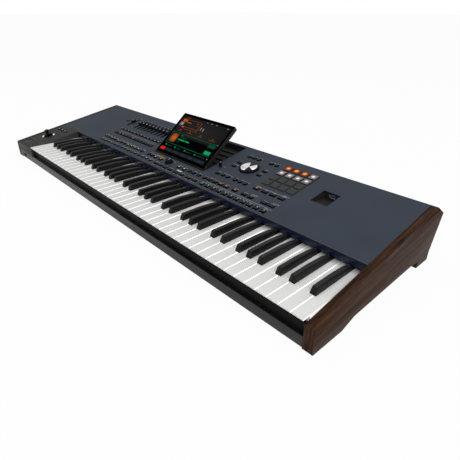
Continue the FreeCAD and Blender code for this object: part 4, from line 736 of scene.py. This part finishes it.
class KEYBOARD_OT_case(bpy.types.Operator):
    """Dress the cheeks, the panel, the rail and the rest of the case"""
    bl_idname = "keyboard.case"
    bl_label = "Case"

    def execute(self, context):
        for node in ("left_cheek", "right_cheek"):
            dressed(node, sizes().wood_edge, "wood", segments=3, angle=12)
        edge = sizes().case_edge
        for node, finish, slot in (("front_rail", "rail", "grey_rail"),
                                   ("key_slip", "slip", "black_plastic"),
                                   ("front_trim", "navy", "navy_trim"),
                                   ("left_control_housing", "housing", "housing_grey"),
                                   ("joystick_plate", "housing", "housing_grey")):
            dressed(node, edge, finish)
        dressed("ribbon_strip", edge / 2, "ribbon")
        for finish, nodes in PAINTED.items():
            for node in nodes:
                paint(node, finish)
        return {"FINISHED"}


def cap_mesh(node):
    """Button caps from the places and sizes of the CAD caps, the round ones turned."""
    inset, sides = 0.35 * MM, 28

    def build(shape):
        for cap in caps(node):
            place = at_panel(cap.x, cap.along)
            if cap.rounded:
                radius = radius_of(cap)
                depth = cap.top - cap.low
                middle = place @ Matrix.Translation((0, 0, cap.low + depth / 2))
                bmesh.ops.create_cone(shape, cap_ends=True, segments=sides, radius1=radius,
                                      radius2=radius - inset, depth=depth, matrix=middle)
            else:
                block(shape, place, cap.wide, cap.long, cap.low, cap.top, inset)
    return rounded(mesh_of(build, node + "_caps"), sizes().cap_edge, angle=40)


BUTTONS = ("style_buttons", "rhythm_buttons", "transport_buttons", "mixer_buttons",
           "player_buttons", "menu_buttons", "assign_buttons", "sound_buttons")


class KEYBOARD_OT_buttons(bpy.types.Operator):
    """Button caps with soft edges"""
    bl_idname = "keyboard.buttons"
    bl_label = "Buttons"

    def execute(self, context):
        for node in BUTTONS:
            finish = "gloss" if node == "sound_buttons" else "button"
            piece(node + "_caps", cap_mesh(node), node, finish, (node,))
        return {"FINISHED"}


# Which cap of each row is lit, one letter for each lamp colour, from left to right
STYLE_LAMPS = "cccybbbggggmppp"
RHYTHM_LAMPS = "o.o.w..wwyw."
MIXER_LAMPS = ".oo..o....."
PLAYER_LAMPS = "..wyww...."
SONG_LAMPS = "..ooo.."
BANK_LAMPS = "......o..."
ASSIGN_LAMPS = "vvv"
BACK_LAMP = "r"


class KEYBOARD_OT_lamps(bpy.types.Operator):
    """Lamp lenses on the lit button caps"""
    bl_idname = "keyboard.lamps"
    bl_label = "Lamps"

    def execute(self, context):
        depth = sunk(sizes().lens_height)
        styles, menu, mixer = caps("style_buttons"), rows("menu_buttons"), rows("mixer_buttons")
        # Each row with its letters and with the shares of a cap's width and length for a lens
        lit = (("style_buttons", styles, STYLE_LAMPS, 0.62, 0.72),
               ("rhythm_buttons", caps("rhythm_buttons"), RHYTHM_LAMPS, 0.55, 0.6),
               ("mixer_buttons", mixer[0], MIXER_LAMPS, 0.45, 0.5),
               ("mixer_buttons", mixer[2], BACK_LAMP, 0.4, 0.5),
               ("player_buttons", caps("player_buttons"), PLAYER_LAMPS, 0.5, 0.5),
               ("menu_buttons", menu[0], SONG_LAMPS, 0.5, 0.45),
               ("menu_buttons", menu[1], BANK_LAMPS, 0.45, 0.45),
               ("assign_buttons", caps("assign_buttons"), ASSIGN_LAMPS, 0.75, 0.75))
        places = {}
        for node, row, letters, wide, long in lit:
            for cap, letter in zip(row, letters):
                if letter != ".":
                    key = (node, letter, round(cap.wide * wide, 5), round(cap.long * long, 5))
                    places.setdefault(key, []).append(top_of(cap))
        for index, ((node, letter, wide, long), points) in enumerate(places.items()):
            name = f"{node}_lamps_{letter}_{index}"
            copies(name, "disc", points, node, letter, wide, long, depth)

        # The first sound cap is lit all over. The others have a painted highlight towards the back
        # right, a pale plate that glows.
        first, *others = caps("sound_buttons")
        size, shift = others[0], 0.16
        # Painted highlight: a pale glowing plate on each cap
        lenses = [on_panel(cap.x + cap.wide * shift, cap.along + cap.long * shift, cap.top)
                  for cap in others]
        copies("sound_buttons_painted_glint", "plate", lenses, "sound_buttons", "painted_cap_glint",
               size.wide * 0.46, size.long * 0.44, depth)
        copies("sound_buttons_lit", "plate", [top_of(first)], "sound_buttons", "e",
               size.wide * 0.6, size.long * 0.5, depth)

        # Two lone lamps on the panel
        signals = [on_panel(KEYS_LEFT + 135 * MM, mixer[0][0].along + 54.5 * MM),
                   on_panel(styles[0].x - 11 * MM, styles[0].along + 8 * MM)]
        across = 3 * MM
        copies("panel_signals", "disc", signals, "top_panel", "o", across, across, depth)
        return {"FINISHED"}


# Lit pads by row from the front, one letter for each pad
PAD_LIGHTS = ("....", "....", "wwww", "ooow")


class KEYBOARD_OT_pads(bpy.types.Operator):
    """Soft pads, the lit ones with a glow in the middle"""
    bl_idname = "keyboard.pads"
    bl_label = "Pads"

    def execute(self, context):
        dressed("pads", sizes().pad_edge, "pad", segments=3, angle=40)
        side = caps("pads")[0].wide - sizes().pad_edge * 2
        for lit, finish in (("w", "pad_white"), ("o", "pad_orange")):
            points = [top_of(cap) for row, letters in zip(rows("pads"), PAD_LIGHTS)
                      for cap, letter in zip(row, letters) if letter == lit]
            copies("pads_" + finish, "plate", points, "pads", finish, side, side,
                   sunk(sizes().lens_height))
        return {"FINISHED"}


# Millimetres from the last cap of the front menu row to two more caps at its right
MENU_END = (39.2, 59.1)
# Millimetres from a cap to the label behind it
LABEL_GAPS = {"style_buttons": 2.6, "rhythm_buttons": 2.6, "sound_buttons": 3.0,
              "transport_buttons": 2.6, "player_buttons": 3.0, "menu_buttons": 3.2}
MIXER_LABEL_GAP = 2.4


def menu_end():
    """The two caps at the right end of the front menu row."""
    last = rows("menu_buttons")[0][-1]
    return [last._replace(x=last.x + shift * MM) for shift in MENU_END]


def print_dashes():
    """Rows of dashes for the small labels."""
    chance = random.Random(11)
    wide, depth = sizes().dash_width, sizes().dash_long
    pitch, second_row, wander = wide * 1.35, depth * 1.6, 0.1
    film = sunk(sizes().print_height)
    before_transport, before_track, beside_knob = 3.2 * MM, 1 * MM, 5 * MM
    end_shift, end_gap, end_count = 4 * MM, 7 * MM, 4
    dashes = []

    def label(x, along, count):
        for index in range(count):
            shift = (index - (count - 1) / 2) * pitch
            dashes.append(on_panel(x + shift, along + chance.uniform(-wander, wander) * depth))

    def label_behind(cap, gap, count):
        label(cap.x, cap.along + cap.long / 2 + gap, count)

    def row_end(cap):
        label(cap.x + end_shift, cap.along + cap.long / 2 + end_gap, end_count)

    for node, gap in LABEL_GAPS.items():
        for cap in caps(node):
            label_behind(cap, gap * MM, chance.choice((2, 3, 3, 4)))
            if node == "rhythm_buttons":
                label_behind(cap, gap * MM + second_row, chance.choice((2, 3)))
    mixer, menu = rows("mixer_buttons"), rows("menu_buttons")
    for cap in mixer[0] + mixer[1]:
        label_behind(cap, MIXER_LABEL_GAP * MM, chance.choice((1, 2, 3)))
    for cap in caps("transport_buttons"):
        label(cap.x, cap.along - cap.long / 2 - before_transport, chance.choice((2, 3, 4)))
    for track in caps("fader_tracks"):
        label_behind(track, -before_track, 2)
    for node in ("volume_knob", "balance_knob"):
        cap = caps(node)[0]
        label(cap.x + cap.wide / 2 + beside_knob, cap.along + cap.long / 2, 2)
    for cap in (menu[0][-1], menu[1][-1], caps("sound_buttons")[-1]):
        row_end(cap)
    for cap in menu_end():
        label_behind(cap, LABEL_GAPS["menu_buttons"] * MM, 3)
    row_end(menu_end()[-1])

    # Marks on the caps of the second mixer row, a little before their middle
    mode = mixer[1]
    marks = [on_panel(cap.x, cap.along - cap.long * 0.12, cap.top) for cap in mode]
    copies("mode_labels", "plate", marks, "mixer_buttons", "ink", mode[0].wide * 0.6,
           mode[0].long * 0.36, film)
    copies("panel_print", "plate", dashes, "top_panel", "ink", wide, depth, film, spread=0.5)


def printed(name, boxes, finish):
    """Printed boxes on the top panel, each given by its middle, its width and its depth."""
    def build(shape):
        for x, along, wide, long in boxes:
            block(shape, at_panel(x, along), wide, long, 0.0, sizes().print_height)
    piece(name, mesh_of(build, name), "top_panel", finish)


def behind_row(row, gap, extra, long):
    """A printed line behind a row of caps and wider than it by some millimetres."""
    return ((row[0].x + row[-1].x) / 2, row[0].along + gap * MM,
            row[-1].x - row[0].x + extra * MM, long * MM)


def print_lines():
    """Lines behind the rows of caps, and a tick before each sound cap."""
    sounds, mixer, menu = caps("sound_buttons"), rows("mixer_buttons"), rows("menu_buttons")
    tick_gap, tick_share, tick_long = 3.2 * MM, 0.16, 1.2 * MM
    lines = [(cap.x, cap.along - cap.long / 2 - tick_gap, cap.wide * tick_share, tick_long)
             for cap in sounds]
    lines.append(behind_row(menu[1][-4:], 8.6, 14, 1))
    lines.append(behind_row(sounds, 12.5, 0, 1))
    lines.append(behind_row(mixer[0], 14, 0, 0.8))
    printed("panel_lines", lines, "ink")


def paint_cap_shadows():
    """Painted shadows in black: rings round the round caps, strips before the others and behind
    the mixer's.
    """
    width, gap, high = sizes().rim_width, 0.4 * MM, sizes().print_height

    def cap_shadow_shapes(shape):
        for node in BUTTONS + ("volume_knob",):
            for cap in caps(node):
                if cap.rounded:
                    washer(shape, at_panel(cap.x, cap.along), cap.wide / 2 + gap, width, high)
                    continue
                for end in (-1, 1) if node == "mixer_buttons" else (-1,):
                    along = cap.along + end * (cap.long / 2 + gap + width / 2)
                    block(shape, at_panel(cap.x, along), cap.wide + gap * 2, width, 0.0, high)
    # Painted shadows: black rings and strips round the caps
    piece("cap_painted_shadows", mesh_of(cap_shadow_shapes, "cap_shadow_shapes"), "top_panel", "black_ink_and_shadow")


def add_menu_end():
    """Two more caps at the right end of the menu row. Each slides in a low collar on the panel."""
    foot, inset = 1.25 * MM, 0.5 * MM
    wall, gap, high = 0.8 * MM, 0.3 * MM, 1.3 * MM

    def end_caps(shape):
        for cap in menu_end():
            place = at_panel(cap.x, cap.along)
            block(shape, place, cap.wide, cap.long, foot, cap.top, inset)
    piece("menu_end_caps", mesh_of(end_caps, "end_caps"), "menu_buttons", "button")

    def end_collars(shape):
        for cap in menu_end():
            for side in (-1, 1):
                beside = at_panel(cap.x + side * (cap.wide / 2 + gap + wall / 2), cap.along)
                block(shape, beside, wall, cap.long + gap * 2, 0.0, high)
                before = at_panel(cap.x, cap.along + side * (cap.long / 2 + gap + wall / 2))
                block(shape, before, cap.wide + (gap + wall) * 2, wall, 0.0, high)
    piece("menu_end_collars", mesh_of(end_collars, "end_collars"), "top_panel", "black_ink_and_shadow")


def print_marks():
    """A painted highlight on the panel's front edge, a bracket over two player caps and a white bar."""
    low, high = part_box("front_trim")
    near, strip = min(corner.y for corner in panel_corners("top_panel")), 1.8 * MM
    edge = ((low.x + high.x) / 2, near + strip / 2, high.x - low.x, strip)
    # Painted highlight: a lighter strip along the front edge
    printed("panel_front_edge_highlight", [edge], "painted_edge_highlight")
    left, right = caps("player_buttons")[2:4]
    bracket = ((left.x + right.x) / 2 - 3 * MM, left.along + 10 * MM, 36 * MM, 2 * MM)
    printed("panel_bracket", [bracket], "yellow_ink")
    left, right = caps("transport_buttons")[4:6]
    bar = ((left.x + right.x) / 2 - 9 * MM, left.along + 9.5 * MM, 18 * MM, 3.4 * MM)
    printed("panel_bar", [bar], "white_ink")


class KEYBOARD_OT_labels(bpy.types.Operator):
    """Printed dashes and lines beside the controls"""
    bl_idname = "keyboard.labels"
    bl_label = "Printed labels"

    def execute(self, context):
        print_dashes()
        print_lines()
        paint_cap_shadows()
        add_menu_end()
        print_marks()
        return {"FINISHED"}


class KEYBOARD_OT_faders(bpy.types.Operator):
    """Fader caps with a white line across the top"""
    bl_idname = "keyboard.faders"
    bl_label = "Faders"

    def execute(self, context):
        line = 1.3 * MM
        for node in ("fader_caps", "master_fader_cap"):
            dressed(node, sizes().cap_edge, "black", angle=40)
            found = caps(node)
            copies(node + "_marks", "plate", [top_of(cap) for cap in found], node, "white_ink",
                   found[0].wide * 0.7, line, sunk(sizes().lens_height))
        beside, strip, long = 2.9 * MM, 3 * MM, 54 * MM
        edges = [on_panel(track.x + side * beside, track.along)
                 for track in caps("fader_tracks") for side in (-1, 1)]
        copies("fader_slot_edges", "plate", edges, "top_panel", "black_ink_and_shadow", strip, long,
               sunk(sizes().print_height))
        return {"FINISHED"}


class KEYBOARD_OT_knobs(bpy.types.Operator):
    """The data dial with its spun cap, and the two knobs"""
    bl_idname = "keyboard.knobs"
    bl_label = "Dial and knobs"

    def execute(self, context):
        dial, seat = caps("data_dial")[0], caps("dial_cap")[0]
        place = at_panel(dial.x, dial.along)
        outer, inner, top = radius_of(dial), radius_of(seat), dial.top
        # Round pieces clear the panel by a lift and reach down to their bearing on a shaft
        lift, shaft, dial_sides, knob_sides = 0.4 * MM, 3 * MM, 96, 64
        ring = [(0, dial.low), (shaft, dial.low), (shaft, lift), (outer - 0.6 * MM, lift),
                (outer, lift + 0.8 * MM), (outer - 0.3 * MM, top - 1.0 * MM),
                (outer - 1.3 * MM, top), (inner + 0.4 * MM, top), (inner, top - 1.0 * MM),
                (0, top - 1.2 * MM)]
        piece("data_dial_turned", soft_edges(turned(ring, dial_sides, place)), "data_dial",
              "black", ("data_dial",))
        disc = [(0, top - 1.1 * MM), (inner - 0.1 * MM, top - 1.1 * MM),
                (inner - 0.1 * MM, top + 0.2 * MM), (inner - 0.8 * MM, seat.top),
                (0, seat.top - 0.4 * MM)]
        piece("dial_cap_turned", soft_edges(turned(disc, dial_sides, place)), "dial_cap",
              "chrome", ("dial_cap",))
        reach, dimple, dimple_sides = 12.5 * MM, 5.0 * MM, 40
        bowl = [(0, -0.9 * MM), (dimple * 0.6, -0.55 * MM), (dimple * 0.92, 0.05 * MM),
                (dimple, 0.25 * MM)]
        spot = place @ Matrix.Translation((reach * 0.35, reach * 0.94, seat.top - 0.15 * MM))
        piece("dial_dimple", turned(bowl, dimple_sides, spot), "dial_cap", "black")

        line = 1.1 * MM
        for node in ("volume_knob", "balance_knob"):
            knob = caps(node)[0]
            place = at_panel(knob.x, knob.along)
            radius = radius_of(knob)
            head = [(0, knob.low), (shaft, knob.low), (shaft, lift), (radius - 0.4 * MM, lift),
                    (radius, lift + 0.6 * MM), (radius * 0.9, knob.top - 0.9 * MM),
                    (radius * 0.9 - 0.8 * MM, knob.top), (0, knob.top)]
            piece(node + "_turned", soft_edges(turned(head, knob_sides, place)), node, "black",
                  (node,))

            def pointer(shape):
                block(shape, place @ Matrix.Translation((0, radius * 0.45, 0)), line,
                      radius * 0.8, knob.top, knob.top + sizes().lens_height)
            piece(node + "_pointer", mesh_of(pointer, "pointer"), node, "white_ink")
        return {"FINISHED"}


def face_frame(node):
    """A frame on the largest flat side of a node: its middle, X across, Z out of the face. Its
    width and height come with it."""
    sums = {}
    mesh = NODES[node].data
    for face in mesh.polygons:
        key = tuple(round(part, 3) for part in face.normal)
        if face.normal.z > 0:
            sums[key] = sums.get(key, 0.0) + face.area
    out = Vector(max(sums, key=sums.get)).normalized()
    place = Matrix((ACROSS, out.cross(ACROSS), out)).transposed().to_4x4()
    back = place.inverted()
    own = [back @ vertex.co for vertex in mesh.vertices]
    low = [min(point[axis] for point in own) for axis in range(3)]
    high = [max(point[axis] for point in own) for axis in range(3)]
    middle = Vector(((low[0] + high[0]) / 2, (low[1] + high[1]) / 2, high[2]))
    return place @ Matrix.Translation(middle), high[0] - low[0], high[1] - low[1]


# Lit areas of the screen by finish, as shares of its width and height from the middle: x, y, wide
# and high
SCREEN = {
    "screen_grey": ((0.0, 0.225, 1.0, 0.55),),
    "screen_rust": (
        (-0.38, 0.465, 0.09, 0.018), (-0.20, 0.425, 0.28, 0.012), (-0.20, 0.215, 0.28, 0.012),
        (-0.19, 0.165, 0.30, 0.012), (-0.055, 0.30, 0.012, 0.25), (-0.12, 0.375, 0.05, 0.02),
        (-0.11, 0.315, 0.03, 0.018), (-0.37, 0.085, 0.10, 0.014), (-0.15, 0.085, 0.12, 0.014),
        (0.08, 0.085, 0.10, 0.014), (0.33, 0.085, 0.14, 0.014)),
    "screen_orange": (
        (-0.41, 0.385, 0.10, 0.075), (-0.375, 0.205, 0.045, 0.04), (-0.30, 0.345, 0.09, 0.022),
        (-0.37, 0.12, 0.03, 0.012), (-0.15, 0.12, 0.03, 0.012), (0.08, 0.12, 0.03, 0.012),
        (0.33, 0.12, 0.03, 0.012)),
    "screen_white": (
        (-0.435, 0.285, 0.075, 0.085), (-0.005, 0.28, 0.016, 0.085), (0.045, 0.27, 0.016, 0.085),
        (0.03, 0.475, 0.025, 0.014), (0.12, 0.475, 0.035, 0.018), (0.22, 0.475, 0.035, 0.014),
        (0.45, 0.465, 0.024, 0.024), (0.475, 0.03, 0.02, 0.02), (0.47, -0.345, 0.02, 0.02)),
    "screen_violet": ((-0.45, 0.225, 0.05, 0.03),),
    "screen_dim": (
        (0.0, 0.025, 0.96, 0.02), (0.0, -0.285, 0.96, 0.02), (-0.475, -0.13, 0.012, 0.33),
        (-0.19, -0.065, 0.14, 0.018), (-0.25, -0.20, 0.05, 0.016), (0.40, -0.04, 0.14, 0.09),
        (-0.35, -0.35, 0.11, 0.016), (-0.14, -0.35, 0.11, 0.016), (0.08, -0.35, 0.13, 0.016),
        (0.33, -0.35, 0.17, 0.016)),
    "screen_photo": ((-0.38, -0.125, 0.14, 0.24),),
    "screen_green": (
        (-0.245, -0.015, 0.025, 0.022), (-0.43, -0.345, 0.028, 0.032),
        (-0.22, -0.345, 0.028, 0.032), (0.0, -0.345, 0.028, 0.032), (0.22, -0.345, 0.028, 0.032)),
    "screen_mint": (
        (-0.205, -0.13, 0.145, 0.034), (-0.075, -0.13, 0.085, 0.034), (0.40, -0.215, 0.12, 0.09)),
    "screen_red": ((-0.44, -0.455, 0.105, 0.08),),
    "screen_slate": (
        (-0.30, -0.455, 0.15, 0.08), (-0.14, -0.455, 0.15, 0.08), (0.02, -0.455, 0.15, 0.08),
        (0.18, -0.455, 0.15, 0.08), (0.37, -0.455, 0.21, 0.08)),
}


class KEYBOARD_OT_display(bpy.types.Operator):
    """The display shell, its black glass and the lit areas of the screen"""
    bl_idname = "keyboard.display"
    bl_label = "Display"

    def execute(self, context):
        dressed("display_shell", sizes().case_edge, "display", angle=25)
        paint("display_glass", "glass")
        paint("display_hinge_pins", "steel")
        place, wide, high = face_frame("display_glass")
        rim, lower, film = 7 * MM, 2 * MM, 0.05 * MM
        screen_wide, screen_high = wide - rim * 2, high - rim * 2 - lower
        place = place @ Matrix.Translation((0, lower / 2, 0))
        for finish in sorted(SCREEN):
            lift = film if finish == "screen_grey" else film * 2

            def build(shape):
                for x, y, share, tall in SCREEN[finish]:
                    spot = place @ Matrix.Translation((x * screen_wide, y * screen_high, 0))
                    block(shape, spot, share * screen_wide, tall * screen_high, 0.0, lift)
            piece(finish + "_cells", mesh_of(build, finish), "display_glass", finish)
        return {"FINISHED"}


class KEYBOARD_OT_joystick(bpy.types.Operator):
    """The joystick lever with its dome, and the screws of its plate"""
    bl_idname = "keyboard.joystick"
    bl_label = "Joystick"

    def execute(self, context):
        pivot = FROM_PANEL @ Vector(JOINTS["joystick_sideways"]["pos_m"])
        lever = caps("joystick_lever")[0]
        place = at_panel(pivot.x, pivot.y)
        foot, top, head, stem = lever.low, lever.top, 6.5 * MM, 4 * MM
        lever_sides, sides, smooth = 48, 64, 60
        stick = [(0, foot), (stem, foot), (stem, -6 * MM), (5.0 * MM, 2 * MM),
                 (4.4 * MM, top * 0.45), (5.4 * MM, top * 0.7), (head, top * 0.84),
                 (head, top * 0.92), (head * 0.82, top * 0.985), (head * 0.5, top),
                 (0, top - 0.3 * MM)]
        piece("joystick_lever_turned", soft_edges(turned(stick, lever_sides, place), smooth),
              "joystick_lever", "gloss", ("joystick_lever",))

        # The dome is a thin shell about the pivot
        reach, open_angle, steps, hollow = 15.5 * MM, math.radians(44), 8, 0.93
        dome = []
        for index in range(steps + 1):
            polar = open_angle * (1 - index / steps)
            dome.append((reach * math.sin(polar), pivot.z + reach * math.cos(polar)))
        inner = [(radius * hollow, pivot.z + (height - pivot.z) * hollow)
                 for radius, height in reversed(dome)]
        piece("joystick_dome", soft_edges(turned(dome + inner, sides, place), smooth),
              "joystick_lever", "gloss")

        plate = panel_corners("joystick_plate")
        level = max(corner.z for corner in plate)
        xs = [corner.x for corner in plate]
        ys = [corner.y for corner in plate if corner.z > level - MM]
        inset, screw, screw_high = 5 * MM, sizes().screw_radius * 2, 0.8 * MM
        points = [on_panel(x, y, level) for x in (min(xs) + inset, max(xs) - inset)
                  for y in (min(ys) + inset, max(ys) - inset)]
        copies("joystick_plate_screws", "disc", points, "joystick_plate", "screw", screw, screw,
               screw_high)
        opening = 15 * MM
        ring = [(opening, 0), (opening, 0.6 * MM), (opening + 1 * MM, 1.2 * MM),
                (opening + 4 * MM, 0.9 * MM), (opening + 5 * MM, 0)]
        piece("joystick_bezel", turned(ring, sides, place @ Matrix.Translation((0, 0, level))),
              "joystick_plate", "bezel")
        dot, across = on_panel(pivot.x - 22 * MM, pivot.y - 6 * MM, level), 2.2 * MM
        copies("joystick_plate_mark", "disc", [dot], "joystick_plate", "white_ink", across, across,
               sunk(sizes().print_height))
        return {"FINISHED"}


class KEYBOARD_OT_sockets(bpy.types.Operator):
    """The port's tongue, and the screws under and behind the case"""
    bl_idname = "keyboard.sockets"
    bl_label = "Sockets and screws"

    def execute(self, context):
        low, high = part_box("usb_port")
        corners = panel_corners("usb_port")
        near = min(corner.y for corner in corners)
        heights = [corner.z for corner in corners]
        place = at_panel((low.x + high.x) / 2, near + 2.4 * MM, (min(heights) + max(heights)) / 2)
        wide, long, tall = high.x - low.x - 3.2 * MM, 4 * MM, 3.6 * MM

        def tongue(shape):
            block(shape, place, wide, long, -tall / 2, tall / 2)
        piece("usb_tongue", mesh_of(tongue, "tongue"), "usb_port", "blue")

        points = []
        for corners in islands("case_screws"):
            points.append(PANEL @ (sum(corners, Vector()) / len(corners)))
        low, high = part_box("case_screws")
        across = 6.6 * MM
        copies("case_screws_turned", "disc", points, "case_screws", "screw", across, across,
               high.z - low.z, turn=Euler((0, 0, 0)), stands_for=("case_screws",))
        return {"FINISHED"}


# Studio lamps: name, place, aim and side in metres, power in watts
LAMPS = (
    ("key_light", (1.9, -0.9, 1.7), (0.1, 0.0, 0.05), 1.6, 20),
    ("top_light", (-0.2, 0.3, 2.4), (0.0, 0.0, 0.05), 2.4, 14),
    ("left_light", (-2.2, -0.8, 1.2), (0.0, 0.0, 0.1), 1.6, 6),
)
# The camera: its place in metres, its tilt, heading and angle of view in degrees
CAMERA_PLACE = (0.8277, -0.5640, 0.4395)
CAMERA_TILT, CAMERA_HEADING, CAMERA_ANGLE = 60.734, 47.237, 60
WHITE = (1, 1, 1, 1)


def make_floor(scene):
    """A wide sheet of white paper."""
    half = 30.0

    def build(shape):
        corners = [(-half, -half, 0), (half, -half, 0), (half, half, 0), (-half, half, 0)]
        shape.faces.new([shape.verts.new(corner) for corner in corners])
    floor = bpy.data.objects.new("studio_floor", mesh_of(build, "studio_floor"))
    scene.collection.objects.link(floor)
    material = bpy.data.materials.new("White studio paper")
    material.use_nodes = True
    tree = material.node_tree
    tree.nodes.clear()
    # Paper: matt, nearly all of its white drawn for the camera so that it is even to the horizon
    drawn = 0.96
    place = put(tree, "ShaderNodeTexCoord").outputs
    tone = mix(tree, noise(tree, place["Object"], 1 / (4 * MM)), "#f4f4f4", "#fafafa")
    paper = put(tree, "ShaderNodeBsdfDiffuse", {"Color": tone})
    white = put(tree, "ShaderNodeEmission", {"Color": WHITE, "Strength": 1.0})
    path = put(tree, "ShaderNodeLightPath").outputs
    seen = maths(tree, "MAXIMUM", path["Is Camera Ray"], path["Is Glossy Ray"])
    clear = maths(tree, "MAXIMUM", seen, path["Is Transmission Ray"])
    both = put(tree, "ShaderNodeMixShader", {0: maths(tree, "MULTIPLY", clear, drawn),
                                             1: paper.outputs["BSDF"],
                                             2: white.outputs["Emission"]})
    put(tree, "ShaderNodeOutputMaterial", {"Surface": both.outputs["Shader"]})
    floor.data.materials.append(material)


def make_world(scene):
    """A soft white light from all sides, plain white where the camera sees it."""
    world = bpy.data.worlds.new("White studio")
    scene.world = world
    world.use_nodes = True
    tree = world.node_tree
    tree.nodes.clear()
    path = put(tree, "ShaderNodeLightPath").outputs
    soft = put(tree, "ShaderNodeBackground", {"Color": WHITE, "Strength": 0.36})
    plain = put(tree, "ShaderNodeBackground", {"Color": WHITE, "Strength": 1.0})
    both = put(tree, "ShaderNodeMixShader", {0: path["Is Camera Ray"],
                                             1: soft.outputs["Background"],
                                             2: plain.outputs["Background"]})
    put(tree, "ShaderNodeOutputWorld", {"Surface": both.outputs["Shader"]})


class KEYBOARD_OT_stage(bpy.types.Operator):
    """Pale floor, soft lights and the camera"""
    bl_idname = "keyboard.stage"
    bl_label = "Stage"

    def execute(self, context):
        scene = context.scene
        scene.view_settings.view_transform = "Standard"
        make_floor(scene)
        make_world(scene)
        for name, at, aim, side, power in LAMPS:
            lamp = bpy.data.lights.new(name, "AREA")
            lamp.shape = "SQUARE"
            lamp.size = side
            lamp.energy = power
            thing = bpy.data.objects.new(name, lamp)
            thing.location = at
            towards = Vector(aim) - Vector(at)
            thing.rotation_euler = towards.to_track_quat("-Z", "Y").to_euler()
            scene.collection.objects.link(thing)

        camera = bpy.data.cameras.new("camera")
        camera.sensor_width = 36.0
        camera.angle = math.radians(CAMERA_ANGLE)
        thing = bpy.data.objects.new("camera", camera)
        thing.location = CAMERA_PLACE
        thing.rotation_euler = (math.radians(CAMERA_TILT), 0.0, math.radians(CAMERA_HEADING))
        scene.collection.objects.link(thing)
        scene.camera = thing
        return {"FINISHED"}


OPERATORS = (KEYBOARD_OT_keys, KEYBOARD_OT_case, KEYBOARD_OT_buttons, KEYBOARD_OT_lamps,
             KEYBOARD_OT_pads, KEYBOARD_OT_labels, KEYBOARD_OT_faders, KEYBOARD_OT_knobs,
             KEYBOARD_OT_display, KEYBOARD_OT_joystick, KEYBOARD_OT_sockets, KEYBOARD_OT_stage)


class KEYBOARD_PT_panel(bpy.types.Panel):
    """Lists the steps that dress the keyboard"""
    bl_idname = "KEYBOARD_PT_panel"
    bl_label = "Arranger keyboard"
    bl_space_type = "VIEW_3D"
    bl_region_type = "UI"
    bl_category = "Keyboard"

    def draw(self, context):
        for step in OPERATORS:
            self.layout.operator(step.bl_idname)
        for group in (context.scene.keyboard_sizes, context.scene.keyboard_colours):
            for name in group.__annotations__:
                self.layout.prop(group, name)


CLASSES = (KeyboardSizes, KeyboardColours, *OPERATORS, KEYBOARD_PT_panel)


def register():
    for part in CLASSES:
        bpy.utils.register_class(part)
    bpy.types.Scene.keyboard_sizes = bpy.props.PointerProperty(type=KeyboardSizes)
    bpy.types.Scene.keyboard_colours = bpy.props.PointerProperty(type=KeyboardColours)


def unregister():
    del bpy.types.Scene.keyboard_sizes
    del bpy.types.Scene.keyboard_colours
    for part in reversed(CLASSES):
        bpy.utils.unregister_class(part)


def main():
    register()
    FINISHES.update(make_finishes())
    make_trees()
    for step in OPERATORS:
        getattr(bpy.ops.keyboard, step.bl_idname.split(".")[1])()


if __name__ == "__main__":
    main()
